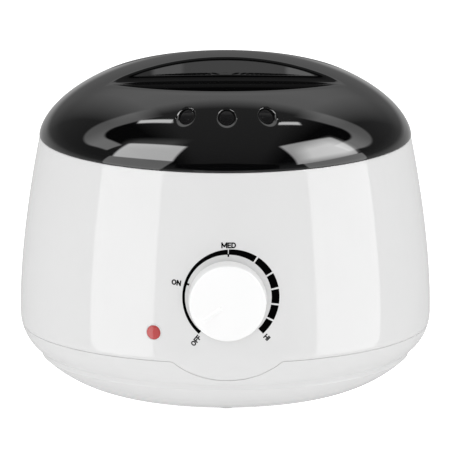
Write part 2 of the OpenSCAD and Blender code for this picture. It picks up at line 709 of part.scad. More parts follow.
// The leads' ways: level with the block, low along the bowl, then up to the terminal
module lead_live() color("saddlebrown") lead([
    [terminal_x[0], -lead_y + 3, lead_z], [terminal_x[0], -lead_y - 6, lead_z], [-8, -30, lead_z + 4],
    [-7, -58, low - 6],
    [-6, thermo_pin[1] + 1, low + 4], [-thermo_pin[0], thermo_pin[1], thermo_pin[2] - lead_gap]], [1, 0, 0]);
module lead_heater() color("saddlebrown") {
    r = post_ring - 2;
    lead(concat([[thermo_pin[0], thermo_pin[1], thermo_pin[2] - lead_gap], [thermo_pin[0] + 2, -r, low + 4]],
        [for (a = [-72 : 24 : 72]) [r * cos(a), r * sin(a), low]],
        [[heater_end[0], heater_end[1], low + 8], [heater_end[0], heater_end[1], heater_end[2] - 4], heater_end]),
        [1, 0, 0]);
}
module lead_fuse() color("tan") lead([
    [-heater_end[0], heater_end[1], heater_end[2]], [-heater_end[0], heater_end[1], heater_end[2] - 4],
    [-heater_end[0], heater_end[1], low + 8],
    [-13, 56, low], [-12, 10, low - 4], [-14, -22, low - 1], [-16, -32, low + 4],
    [-12, -34, fuse_at[2] - 0.5], [-8 - lead_gap, fuse_at[1], fuse_at[2]]], [0, 1, 0]);
module lead_return() color("tan") lead([
    [8 + lead_gap, fuse_at[1], fuse_at[2]], [12, -34, fuse_at[2] - 0.5], [16, -32, low + 4],
    [14, -24, lead_z + 7], [terminal_x[2], -lead_y - 6, lead_z], [terminal_x[2], -lead_y + 3, lead_z]], [0, 1, 0]);
module lead_lamp() color("white") {
    a = lamp_angle - 90;
    lead([for (q = [[lamp_in - lead_gap, lamp_z], [lamp_in - 3, lamp_z - 0.2], [lamp_in - 7, lamp_z - 4],
        [lamp_in - 9, low + 2], [52, 16]]) [q[0] * cos(a), q[0] * sin(a), q[1]]], [0, 0, 1]);
}
module lead_earth() color("yellowgreen") lead([
    [0, tag_len + lead_gap, nut_z - 0.4], [0, tag_len + 6, nut_z - 1.9], [0, tag_len + 10, lead_z + 8],
    [0, lead_y + 6, lead_z], [0, lead_y - 3, lead_z]], [1, 0, 0]);

// Dome of the lid, r at the rim and h high, its rim at z = rim_z
function dome_line(r, h) = [for (i = [0:24]) let (a = 90 * i / 24)
    [r * cos(a), rim_z + h * pow(sin(a), 2 / lid_power)]];
function dome_r(z, r, h) = r * sqrt(1 - pow((z - rim_z) / h, lid_power));
module dome(r, h) rotate_extrude() polygon(concat([[0, rim_z + lid_seat], [r, rim_z + lid_seat]],
    [for (p = dome_line(r, h)) if (p[1] > rim_z + lid_seat + 0.05) [max(p[0], 0), p[1]]]));

// The scoop in front of the grip bar, grown by g: a dished disc leaning with the scoop's floor
module scoop(g) {
    r = scoop_curve + g;
    f = scoop_fillet + g;
    translate([0, -grip_w / 2, rim_z + lid_h - scoop_depth]) rotate([-scoop_rise, 0, 0])
        translate([0, -scoop_curve, -g]) rotate_extrude($fn = 180) polygon(concat([[0, 0]],
            [for (i = [0:5]) let (b = 18 * i) [r - f + f * sin(b), f - f * cos(b)]],
            [[r, far / 4], [0, far / 4]]));
}
module vents(r, flare) for (i = [-1:1]) rotate([0, 0, i * vent_pitch]) {
    out = dome_r(rim_z + vent_h, lid_r, lid_h);
    translate([0, -out, rim_z + vent_h]) rotate([90 - vent_tilt, 0, 0]) {
        translate([0, 0, -12]) cylinder(r = r, h = 24, $fn = 48);
        translate([0, 0, -1.6]) cylinder(r1 = r, r2 = r + 2 * (flare - r), h = 3.2, $fn = 48);
    }
}
module lid() color([0.1, 0.1, 0.1, 0.9]) difference() {
    web_r = lid_r - lid_wall / 2;
    union() {
        difference() {
            dome(lid_r, lid_h);
            for (s = [0, 180]) rotate([0, 0, s]) scoop(0);
            difference() {
                translate([0, 0, -0.01]) dome(lid_r - lid_wall, lid_h - lid_wall);
                for (s = [0, 180]) rotate([0, 0, s]) scoop(lid_wall);
            }
        }
        intersection() {
            dome(web_r, lid_h - lid_wall / 2);
            ring(locator_in, locator_out, rim_z + lid_seat, rim_z + 7);
        }
        ring(min(locator_in, web_r), max(locator_out, web_r), rim_z + lid_seat, rim_z + lid_seat + lid_wall);
        ring(locator_in, locator_out, rim_z - locator_h, rim_z + lid_seat + 1);
    }
    vents(vent_r, vent_flare);
}

// Lift-out pot, drawn in one piece with a flat flange
module wax_pot() color("silver") {
    corner = 7;
    out = pot_r - pot_draft;
    in = out - pot_wall;
    bead = pot_wall / 2;
    c = corner - pot_wall;
    difference() {
        rotate_extrude() polygon(concat(
            [[0, pot_floor], [out - corner, pot_floor]],
            [for (i = [1:6]) let (b = 15 * i)
                [out - corner + corner * sin(b), pot_floor + corner - corner * cos(b)]],
            [[pot_r, pot_top - pot_wall]],
            [for (i = [0:6]) let (b = 30 * i - 90)
                [pot_r + pot_flange - bead + bead * cos(b), pot_top - bead + bead * sin(b)]],
            [[pot_r - pot_wall, pot_top]],
            [for (i = [6:-1:0]) let (b = 15 * i) [in - c + c * sin(b), pot_floor + corner - c * cos(b)]],
            [[0, pot_floor + pot_wall]]));
        at_rivets() translate([0, 0, pot_top - 2 * pot_wall])
            cylinder(r = rivet_hole, h = 3 * pot_wall, $fn = 32);
    }
}

// Copies at the four rivets that hold the ears
module at_rivets() for (s = [0, 180], y = [-1, 1]) rotate([0, 0, s])
    translate([rivet_at[0], y * rivet_at[1], 0]) children();

module pot_ears() color("silver") difference() {
    for (s = [0, 180]) rotate([0, 0, s]) {
        translate([ear_in, -ear_w / 2, pot_top + touch]) cube([ear_t, ear_w, bail_z - pot_top - touch]);
        intersection() {
            translate([ear_in, 0, bail_z]) rotate([0, 90, 0]) cylinder(r = ear_w / 2, h = ear_t);
            translate([0, -far / 2, pot_top + touch]) cube(far);
        }
        for (y = [-1, 1]) translate([ear_in - ear_foot, y * rivet_at[1] - 4, pot_top + touch])
            cube([ear_foot + ear_t, 8, ear_t]);
    }
    for (s = [0, 180]) rotate([0, 0, s]) translate([ear_in - 1, 0, bail_z]) rotate([0, 90, 0])
        cylinder(r = bail_r + bail_gap, h = 4, $fn = 48);
    at_rivets() translate([0, 0, pot_top - 1]) cylinder(r = rivet_hole, h = 5, $fn = 32);
}

module ear_rivets() color("gray") at_rivets() {
    translate([0, 0, pot_top - pot_wall]) cylinder(r = rivet_r, h = pot_wall + ear_t + 1, $fn = 32);
    translate([0, 0, pot_top + ear_t + 2 * touch]) cylinder(r1 = 2.1, r2 = 1.4, h = 0.9, $fn = 32);
}

// Wire bail, lying back over the pot's mouth
module bail() color("silver") {
    r = (pow(bail_span, 2) + pow(bail_reach, 2)) / (2 * bail_reach);
    y = bail_reach - r;
    a = asin(-y / r);
    pin_end = max(bail_span, ear_in + ear_t + 1);
    translate([0, y, bail_z]) rotate([0, 0, a - 0.5]) rotate_extrude(angle = 181 - 2 * a)
        translate([r, 0]) circle(r = bail_r, $fn = 32);
    for (s = [0, 180]) rotate([0, 0, s]) translate([0, 0, bail_z]) {
        translate([bail_span, 0, 0]) sphere(r = 1.2 * bail_r, $fn = 32);
        translate([min(bail_pin, bail_span), 0, 0]) rotate([0, 90, 0])
            cylinder(r = bail_r, h = pin_end - min(bail_pin, bail_span), $fn = 32);
        translate([bail_pin + 1.2, 0, 0]) rotate([0, 90, 0]) cylinder(r = bail_r + 0.5, h = 0.8, $fn = 32);
    }
}

module stood() translate([0, 0, foot_proud]) children();

stood() housing();
stood() base();
stood() rubber_feet();
stood() base_screws();
stood() support_frame();
stood() frame_screws();
stood() heating_chamber();
stood() chamber_gasket();
stood() chamber_spacer();
stood() chamber_nut();
stood() heat_shield();
stood() heater_band();
stood() band_clamp();
stood() clamp_screw();
stood() thermal_fuse();
stood() fuse_clip();
stood() thermostat_body();
stood() thermostat_nut();
stood() thermostat_bracket();
stood() bracket_screws();
stood() thermostat_spindle();
stood() knob();
stood() pilot_lens();
stood() neon_lamp();
stood() lamp_retainer();
stood() cord_gland();
stood() gland_nut();
stood() terminal_block();
stood() block_screws();
stood() terminal_screws();
stood() earth_tag();
stood() lead_live();
stood() lead_heater();
stood() lead_fuse();
stood() lead_return();
stood() lead_lamp();
stood() lead_earth();
stood() lid();
stood() wax_pot();
stood() pot_ears();
stood() ear_rivets();
stood() bail();
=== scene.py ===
"""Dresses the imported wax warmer: a glossy white tub, a black domed lid, the dial, lamp, pot and bail.

Lengths in the classes are millimetres above the sole, as the solids are drawn; a mesh is lifted onto the
feet and turned into metres once, when it is made.
"""

import json
import logging
import math
from dataclasses import dataclass
from enum import Enum
from typing import Callable, Dict, List, Optional, Sequence, Tuple, Union

import bmesh
import bpy
import numpy as np
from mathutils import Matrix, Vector

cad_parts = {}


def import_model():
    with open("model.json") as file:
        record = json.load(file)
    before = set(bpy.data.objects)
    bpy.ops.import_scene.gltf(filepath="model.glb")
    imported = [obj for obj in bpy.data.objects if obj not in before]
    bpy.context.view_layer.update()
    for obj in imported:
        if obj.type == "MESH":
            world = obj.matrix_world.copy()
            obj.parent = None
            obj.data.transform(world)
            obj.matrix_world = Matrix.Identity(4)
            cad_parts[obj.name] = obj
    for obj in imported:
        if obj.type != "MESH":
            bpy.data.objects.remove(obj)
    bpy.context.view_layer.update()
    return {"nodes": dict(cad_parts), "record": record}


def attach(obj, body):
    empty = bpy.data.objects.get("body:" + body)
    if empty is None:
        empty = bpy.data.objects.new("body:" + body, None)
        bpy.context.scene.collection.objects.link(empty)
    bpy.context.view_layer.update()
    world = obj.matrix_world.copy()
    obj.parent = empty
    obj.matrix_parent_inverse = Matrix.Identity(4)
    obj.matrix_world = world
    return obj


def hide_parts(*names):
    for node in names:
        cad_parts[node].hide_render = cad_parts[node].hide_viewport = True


LOG = logging.getLogger("wax_warmer")
MM = 0.001
FOOT_PROUD = 1.0
ARC_SHARE = 0.48
WHITE = (1, 1, 1, 1)
Array = np.ndarray
Piece = bpy.types.Object
Tree = bpy.types.NodeTree
Socket = bpy.types.NodeSocket
Value = Union[Socket, float]
Colour = Tuple[float, float, float]
Point = Tuple[float, float]
Stops = Tuple[Point, ...]


def signed_volume(points: Array, faces: Sequence[Array]) -> float:
    """Volume of a closed mesh, negative where its faces point inwards.

    Args:
        points: corners, one row each.
        faces: arrays of quads or triangles, one face a row.
    Returns:
        The sum over fanned triangles of a . (b x c) / 6.
    """
    total = 0.0
    for part in faces:
        a = points[part[:, 0]]
        for i in range(1, part.shape[1] - 1):
            total += np.einsum("ij,ij->i", a, np.cross(points[part[:, i]], points[part[:, i + 1]])).sum()
    return float(total) / 6


def linked(name: str, data: bpy.types.ID) -> Piece:
    """Makes an object of the scene.

    Args:
        name: the object's name.
        data: the mesh, lamp or camera that it holds.
    Returns:
        The object, at the origin.
    """
    made = bpy.data.objects.new(name, data)
    bpy.context.scene.collection.objects.link(made)
    return made


def smooth_mesh(name: str, points: Array, corners: Array, starts: Array) -> bpy.types.Mesh:
    """Makes a smooth mesh from whole arrays.

    Args:
        name: the mesh's name.
        points: places in metres, three numbers each.
        corners: the faces' corner numbers, face after face.
        starts: where each face starts among them.
    Returns:
        The mesh.
    """
    mesh = bpy.data.meshes.new(name)
    mesh.vertices.add(points.size // 3)
    mesh.vertices.foreach_set("co", points.astype(np.float32).ravel())
    mesh.loops.add(len(corners))
    mesh.loops.foreach_set("vertex_index", corners.astype(np.int32))
    mesh.polygons.add(len(starts))
    mesh.polygons.foreach_set("loop_start", starts.astype(np.int32))
    mesh.update(calc_edges=True)
    mesh.validate()
    mesh.shade_smooth()
    return mesh


def add_mesh(name: str, points: Array, *faces: Array) -> Piece:
    """Makes a smooth piece from millimetres, lifted onto the feet and with its faces turned outwards.

    Args:
        name: the piece's name.
        points: corners in millimetres, one row each.
        faces: arrays of corner numbers, one face a row, the faces of an array with as many sides.
    Returns:
        The piece, at the origin.
    """
    turn = -1 if signed_volume(points, faces) < 0 else 1
    corners = np.concatenate([part[:, ::turn].ravel() for part in faces])
    sides = np.concatenate([np.full(len(part), part.shape[1]) for part in faces])
    starts = np.concatenate([[0], np.cumsum(sides)[:-1]])
    return linked(name, smooth_mesh(name, (points + [0, 0, FOOT_PROUD]) * MM, corners, starts))


def grid_quads(rows: int, columns: int, wrap_rows: bool, wrap_columns: bool = True) -> Array:
    """Corner numbers of the quads of a grid whose points are numbered row by row.

    Args:
        rows: rows of points.
        columns: points in a row.
        wrap_rows: whether the last row joins the first.
        wrap_columns: whether a row's last point joins its first.
    Returns:
        The quads, one a row.
    """
    r = np.arange(rows if wrap_rows else rows - 1)[:, None]
    c = np.arange(columns if wrap_columns else columns - 1)[None, :]
    r2, c2 = (r + 1) % rows, (c + 1) % columns
    quads = np.stack([r * columns + c, r * columns + c2, r2 * columns + c2, r2 * columns + c], -1)
    return quads.reshape(-1, 4)


def lathe(name: str, grid: Array, ring: bool = False) -> Piece:
    """Closes a grid of rows round an axis into a solid.

    The surface is grid[row, column]. With ring the last row joins the first. Otherwise the first and the last
    row are poles, each of them one point.

    Args:
        name: the piece's name.
        grid: points, shaped (rows, columns, 3), columns going once round.
        ring: whether the section is a closed loop that stays off the axis.
    Returns:
        The piece.
    """
    rows, columns = grid.shape[:2]
    if ring:
        return add_mesh(name, grid.reshape(-1, 3), grid_quads(rows, columns, True))
    points = np.concatenate([grid[1:-1].reshape(-1, 3), grid[0, :1], grid[-1, :1]])
    first, last = len(points) - 2, len(points) - 1
    c = np.arange(columns)
    c2 = (c + 1) % columns
    base = (rows - 3) * columns
    caps = np.concatenate([np.stack([c2, c, np.full(columns, first)], -1),
                           np.stack([base + c, base + c2, np.full(columns, last)], -1)])
    return add_mesh(name, points, grid_quads(rows - 2, columns, False), caps)


def capped(grid: Array, first: Sequence[float], last: Sequence[float]) -> Array:
    """Adds a pole at each end of a grid, for lathe.

    Args:
        grid: points, shaped (rows, columns, 3).
        first: the point before the first row.
        last: the point after the last row.
    Returns:
        The grid with two rows more, each of them one point.
    """
    poles = [np.broadcast_to(np.asarray(point, float), (1, *grid.shape[1:])) for point in (first, last)]
    return np.concatenate([poles[0], grid, poles[1]])


def rounded(corners: Sequence[Point], radii: Sequence[float], steps: int = 5) -> Array:
    """Rounds the corners of an open line in the plane.

    At each corner an arc of the given radius touches both sides: its ends lie radius * tan(turn / 2) from the
    corner, and its points are spread evenly over the turn. An arc takes up no more than ARC_SHARE of a side.

    Args:
        corners: the line's corners.
        radii: one radius a corner, 0 where it stays sharp.
        steps: points on each arc.
    Returns:
        The rounded line, one point a row.
    """
    line = np.asarray(corners, float)
    out = []
    for i, radius in enumerate(radii):
        here = line[i]
        if radius <= 0 or i in (0, len(line) - 1):
            out.append(here[None])
            continue
        back, on = line[i - 1] - here, line[i + 1] - here
        u, v = back / np.linalg.norm(back), on / np.linalg.norm(on)
        half = math.acos(float(np.clip(np.dot(u, v), -1, 1))) / 2
        reach = min(radius / math.tan(half), ARC_SHARE * np.linalg.norm(back), ARC_SHARE * np.linalg.norm(on))
        radius = reach * math.tan(half)
        middle = here + (u + v) / np.linalg.norm(u + v) * radius / math.sin(half)
        a, b = here + u * reach - middle, here + v * reach - middle
        t = np.linspace(0, math.atan2(a[0] * b[1] - a[1] * b[0], float(np.dot(a, b))), steps)
        c, s = np.cos(t), np.sin(t)
        out.append(middle + np.stack([a[0] * c - a[1] * s, a[0] * s + a[1] * c], -1))
    return np.concatenate(out)


def dense(line: Array, longest: float) -> Array:
    """Splits the long sides of a line in the plane.

    Args:
        line: its points, one a row.
        longest: how long a side may be.
    Returns:
        The line, its sides split evenly.
    """
    parts = [line[:1]]
    for a, b in zip(line[:-1], line[1:]):
        n = max(1, math.ceil(float(np.linalg.norm(b - a)) / longest))
        parts.append(a + (b - a) * (np.arange(1, n + 1) / n)[:, None])
    return np.concatenate(parts)


def arc(centre: Sequence[float], radius: float, t: Array) -> Array:
    """Points of a circle at angles t from straight down: (x + r sin t, z - r cos t), one a row."""
    return np.stack([centre[0] + radius * np.sin(t), centre[1] - radius * np.cos(t)], -1)


def ellipse(x: float, y: float, rx: float, ry: float, t: Array) -> Array:
    """Points of an ellipse at angles t: (x + rx cos t, y + ry sin t), one a row."""
    return np.stack([x + rx * np.cos(t), y + ry * np.sin(t)], -1)


def bar(radius: float, low: float, high: float) -> Array:
    """Section of a round bar between two heights, from pole to pole."""
    return np.array([(0, low), (radius, low), (radius, high), (0, high)])


def around(profile: Array, columns: int) -> Array:
    """Carries a profile of (radius, height) round Z: x = r cos a, y = r sin a, z = h, for even angles a.

    Args:
        profile: the section, one point a row.
        columns: points round the axis.
    Returns:
        Points shaped (rows, columns, 3).
    """
    a = 2 * math.pi * np.arange(columns) / columns
    r, z = profile[:, :1], profile[:, 1:]
    return np.stack([r * np.cos(a), r * np.sin(a), z + 0 * a], -1)


def along(grid: Array, centre: Sequence[float], out: Sequence[float],
          up: Sequence[float] = (0, 0, 1)) -> Array:
    """Moves a grid drawn round Z: a point becomes centre + x u + y v + z w.

    Args:
        grid: the points.
        centre: where their origin goes.
        out: the way w that their Z turns to.
        up: the way that their Y, v, turns to as near as can be.
    Returns:
        The moved points.
    """
    w = np.asarray(out, float) / np.linalg.norm(out)
    u = np.cross(up, w)
    u = u / np.linalg.norm(u)
    v = np.cross(w, u)
    return np.asarray(centre, float) + grid[..., :1] * u + grid[..., 1:2] * v + grid[..., 2:] * w


def outwards(profile: Array, angle: float, z: float, columns: int) -> Array:
    """Carries a profile of (radius, reach) round a level line from the axis, at an angle from the front."""
    return along(around(profile, columns), (0, 0, z), (math.sin(angle), -math.cos(angle), 0))


def cut(piece: Piece, tool: Piece, operation: str = "DIFFERENCE") -> None:
    """Cuts a tool out of a piece, or joins it on, and throws the tool away.

    Args:
        piece: the piece, which gets a new mesh.
        tool: a closed solid.
        operation: the kind of cut.
    """
    step = piece.modifiers.new("cut", "BOOLEAN")
    step.operation = operation
    step.solver = "EXACT"
    step.object = tool
    graph = bpy.context.evaluated_depsgraph_get()
    graph.update()
    mesh = bpy.data.meshes.new_from_object(piece.evaluated_get(graph))
    old = piece.data
    piece.modifiers.clear()
    piece.data = mesh
    mesh.name = old.name
    bpy.data.meshes.remove(old)
    bpy.data.objects.remove(tool)


def crease(piece: Piece, degrees: float) -> Piece:
    """Shades a piece smooth, apart from its sharp edges.

    Args:
        piece: the piece.
        degrees: the angle past which an edge is sharp.
    Returns:
        The piece.
    """
    piece.data.shade_smooth()
    piece.data.set_sharp_from_angle(angle=math.radians(degrees))
    return piece


def flat_values(items: bpy.types.bpy_prop_collection, key: str, width: int, kind: type) -> Array:
    """One attribute of a mesh's points, corners or faces.

    Args:
        items: the points, corners or faces.
        key: the attribute's name.
        width: how many numbers each has.
        kind: the numbers' type.
    Returns:
        All the numbers in one row.
    """
    out = np.empty(len(items) * width, kind)
    items.foreach_get(key, out)
    return out


def joined(parts: Sequence[Piece]) -> Piece:
    """Joins loose objects into the first of them.

    Args:
        parts: the objects, of which only the first stays.
    Returns:
        The first object, with the points and faces of all.
    """
    points, corners, starts = [], [], []
    offset, count = 0, 0
    for part in parts:
        mesh = part.data
        points.append(flat_values(mesh.vertices, "co", 3, np.float32))
        corners.append(flat_values(mesh.loops, "vertex_index", 1, np.int32) + offset)
        starts.append(flat_values(mesh.polygons, "loop_start", 1, np.int32) + count)
        offset += len(mesh.vertices)
        count += len(mesh.loops)
    first, *others = parts
    first.data = smooth_mesh(first.name, *(np.concatenate(item) for item in (points, corners, starts)))
    for part in others:
        bpy.data.objects.remove(part)
    return first


def node(tree: Tree, kind: str, settings: Optional[dict] = None,
         links: Optional[dict] = None) -> bpy.types.Node:
    """Adds a node, sets it up and feeds its inputs.

    Args:
        tree: the tree it goes into.
        kind: the node's type.
        settings: properties of the node.
        links: by input name or number, a socket to link from or a plain value.
    Returns:
        The node.
    """
    made = tree.nodes.new(kind)
    for key, value in (settings or {}).items():
        setattr(made, key, value)
    for key, value in (links or {}).items():
        if isinstance(value, Socket):
            tree.links.new(value, made.inputs[key])
        else:
            made.inputs[key].default_value = value
    return made


def maths(tree: Tree, operation: str, first: Value, *rest: Value) -> Socket:
    """Arithmetic on sockets or numbers: one step for each value after the first, or one on the first alone.

    Args:
        tree: the tree that the nodes go into.
        operation: the kind of step.
        first: the value that is started from.
        rest: the values that are taken in turn.
    Returns:
        The result's socket.
    """
    for value in rest or (0.0,):
        first = node(tree, "ShaderNodeMath", {"operation": operation}, {0: first, 1: value}).outputs[0]
    return first


def vectors(tree: Tree, operation: str, a: Socket,
            b: object = (0.0, 0.0, 0.0)) -> bpy.types.bpy_prop_collection:
    """One step of arithmetic on vectors: the node's outputs, Vector and Value."""
    return node(tree, "ShaderNodeVectorMath", {"operation": operation}, {0: a, 1: b}).outputs


def mapped(tree: Tree, value: Socket, low: Value, high: Value,
           start: float = 0.0, stop: float = 1.0) -> Socket:
    """Maps a value from start..stop to low..high, either of them a number or a socket."""
    return node(tree, "ShaderNodeMapRange", None, {"Value": value, "From Min": start, "From Max": stop,
                                                   "To Min": low, "To Max": high}).outputs["Result"]


def mixed(tree: Tree, factor: Value, a: object, b: object) -> Socket:
    """Mixes two colours: inputs 0, 6 and 7 of the node are its factor and colours, and output 2 the mix."""
    return node(tree, "ShaderNodeMix", {"data_type": "RGBA"}, {0: factor, 6: a, 7: b}).outputs[2]


def noise(tree: Tree, place: Socket, scale: Value, detail: float) -> Socket:
    """Soft noise between 0 and 1 at a scale, with some octaves of detail."""
    made = node(tree, "ShaderNodeTexNoise", None, {"Vector": place, "Scale": scale, "Detail": detail})
    return made.outputs[0]


def curve(tree: Tree, value: Socket, low: float, high: float, stops: Stops) -> Socket:
    """A grey that runs through (value, grey) stops.

    Args:
        tree: the tree that the nodes go into.
        value: the socket that is looked up.
        low: the value at the curve's start.
        high: the value at its end.
        stops: the stops, in order.
    Returns:
        The grey's socket.
    """
    ramp = node(tree, "ShaderNodeValToRGB", None, {"Fac": mapped(tree, value, 0.0, 1.0, low, high)})
    items = ramp.color_ramp.elements
    while len(items) < len(stops):
        items.new(0.5)
    for item, (at, grey) in zip(items, stops):
        item.position = (at - low) / (high - low)
        item.color = (grey, grey, grey, 1)
    return maths(tree, "ADD", ramp.outputs["Color"])


class Texture(Enum):
    """The ways in which a finish's surface was made."""

    MOULDED = "moulded"
    SPUN = "spun"
    PLATED = "plated"
    SLEEVED = "sleeved"


SIZES: Dict[Texture, Tuple[str, str]] = {
    Texture.MOULDED: ("Clouds", "Grain"),
    Texture.SPUN: ("Stains", "Rings"),
    Texture.PLATED: ("Spangle", "Scratches"),
    Texture.SLEEVED: ("Threads", "Fuzz"),
}


class Surface:
    """A texture's shader group: tones, sizes and a gloss range in, colour, roughness and height out."""

    def __init__(self, texture: Texture, *masks: str) -> None:
        """Makes the group with its named sockets.

        Args:
            texture: the texture that it draws.
            masks: names of further inputs, each a number.
        """
        self.tree = bpy.data.node_groups.new(texture.value + "_surface", "ShaderNodeTree")
        for label in ("Light", "Dark"):
            self.tree.interface.new_socket(label, in_out="INPUT", socket_type="NodeSocketColor")
        for label in (*SIZES[texture], "Smooth", "Rough", *masks):
            self.tree.interface.new_socket(label, in_out="INPUT", socket_type="NodeSocketFloat")
        for label, kind in (("Colour", "Color"), ("Roughness", "Float"), ("Height", "Float")):
            self.tree.interface.new_socket(label, in_out="OUTPUT", socket_type="NodeSocket" + kind)
        self.source = self.tree.nodes.new("NodeGroupInput").outputs
        self.sink = self.tree.nodes.new("NodeGroupOutput").inputs
        self.place = node(self.tree, "ShaderNodeTexCoord").outputs["Object"]

    def gloss(self, pattern: Socket, low: float, high: float) -> Socket:
        """Roughness from Smooth to Rough as a pattern goes from low to high."""
        return mapped(self.tree, pattern, self.source["Smooth"], self.source["Rough"], low, high)

    def tone(self, pattern: Socket) -> Socket:
        """Colour from Light to Dark as a pattern goes from 0 to 1."""
        return mixed(self.tree, pattern, self.source["Light"], self.source["Dark"])

    def close(self, colour: Socket, roughness: Socket, height: Socket) -> Tree:
        """Feeds the outputs.

        Args:
            colour: the surface's colour.
            roughness: its roughness.
            height: its height, for bump.
        Returns:
            The finished group.
        """
        for label, socket in (("Colour", colour), ("Roughness", roughness), ("Height", height)):
            self.tree.links.new(socket, self.sink[label])
        return self.tree


def moulded_group() -> Tree:
    """Moulded plastic: faint clouds of tone, a fine grain in gloss and height, and dust on level faces.

    The tone is Light mixed towards Dark by soft noise of Clouds size, the height is noise of Grain size, and
    dust is the noise's upper half where the face looks up.

    Returns:
        The group.
    """
    made = Surface(Texture.MOULDED, "Dust")
    g, dust_colour = made.tree, (0.55, 0.54, 0.52, 1)
    clouds = noise(g, made.place, made.source["Clouds"], 3.0)
    grain = noise(g, made.place, made.source["Grain"], 2.0)
    normal = node(g, "ShaderNodeNewGeometry").outputs["Normal"]
    level = node(g, "ShaderNodeSeparateXYZ", None, {0: normal}).outputs["Z"]
    facing = mapped(g, level, 0.0, made.source["Dust"], 0.25, 1.0)
    dust = maths(g, "MULTIPLY", facing, mapped(g, grain, 0.0, 1.0, 0.5, 0.72))
    tone = made.tone(mapped(g, clouds, 0.0, 1.0, 0.3, 0.7))
    dulled = maths(g, "ADD", made.gloss(clouds, 0.3, 0.75), dust)
    return made.close(mixed(g, dust, tone, dust_colour), dulled, grain)


def spun_group() -> Tree:
    """Turned sheet metal: fine rings round Z, with gloss and tone that change from ring to ring.

    The rings are noise of (distance from Z, height) alone, at Rings a metre, and the stains are soft noise.

    Returns:
        The group.
    """
    made = Surface(Texture.SPUN)
    g = made.tree
    radius = vectors(g, "LENGTH", vectors(g, "MULTIPLY", made.place, (1.0, 1.0, 0.0))[0])["Value"]
    height = node(g, "ShaderNodeSeparateXYZ", None, {0: made.place}).outputs["Z"]
    line = node(g, "ShaderNodeCombineXYZ", None, {"X": radius, "Y": height}).outputs[0]
    rings = noise(g, line, made.source["Rings"], 3.0)
    stains = noise(g, made.place, made.source["Stains"], 4.0)
    return made.close(made.tone(mapped(g, stains, 0.0, 1.0, 0.35, 0.7)), made.gloss(rings, 0.3, 0.7), rings)


def plated_group() -> Tree:
    """Plated or rolled metal: crystals of slightly different tone under a fine grain of scratches.

    The crystals are the cells of a Voronoi pattern of Spangle size, and the scratches are noise that is
    drawn out along X.

    Returns:
        The group.
    """
    made = Surface(Texture.PLATED)
    g = made.tree
    drawn = node(g, "ShaderNodeMapping", None, {"Vector": made.place, "Scale": (0.08, 1.0, 1.0)}).outputs[0]
    cells = node(g, "ShaderNodeTexVoronoi", None, {"Vector": made.place, "Scale": made.source["Spangle"]})
    lines = noise(g, drawn, made.source["Scratches"], 3.0)
    shade = node(g, "ShaderNodeSeparateColor", None, {0: cells.outputs["Color"]}).outputs[0]
    return made.close(made.tone(shade), made.gloss(lines, 0.3, 0.7), lines)


def sleeved_group() -> Tree:
    """Braided sleeving: two waves that cross on the slant, light on the threads and dark between them.

    Returns:
        The group.
    """
    made = Surface(Texture.SLEEVED)
    g, slants = made.tree, []
    for angle in (0.7, -0.7):
        turned = node(g, "ShaderNodeMapping", None, {"Vector": made.place, "Rotation": (angle, 0.0, angle)})
        wave = node(g, "ShaderNodeTexWave", None, {
            "Vector": turned.outputs[0], "Scale": made.source["Threads"], "Distortion": 0.4})
        slants.append(wave.outputs["Fac"])
    braid = maths(g, "MAXIMUM", *slants)
    fuzz = noise(g, made.place, made.source["Fuzz"], 2.0)
    colour = mixed(g, braid, made.source["Dark"], made.source["Light"])
    return made.close(colour, made.gloss(fuzz, 0.3, 0.7), braid)


BUILDERS: Dict[Texture, Callable[[], Tree]] = {
    Texture.MOULDED: moulded_group,
    Texture.SPUN: spun_group,
    Texture.PLATED: plated_group,
    Texture.SLEEVED: sleeved_group,
}


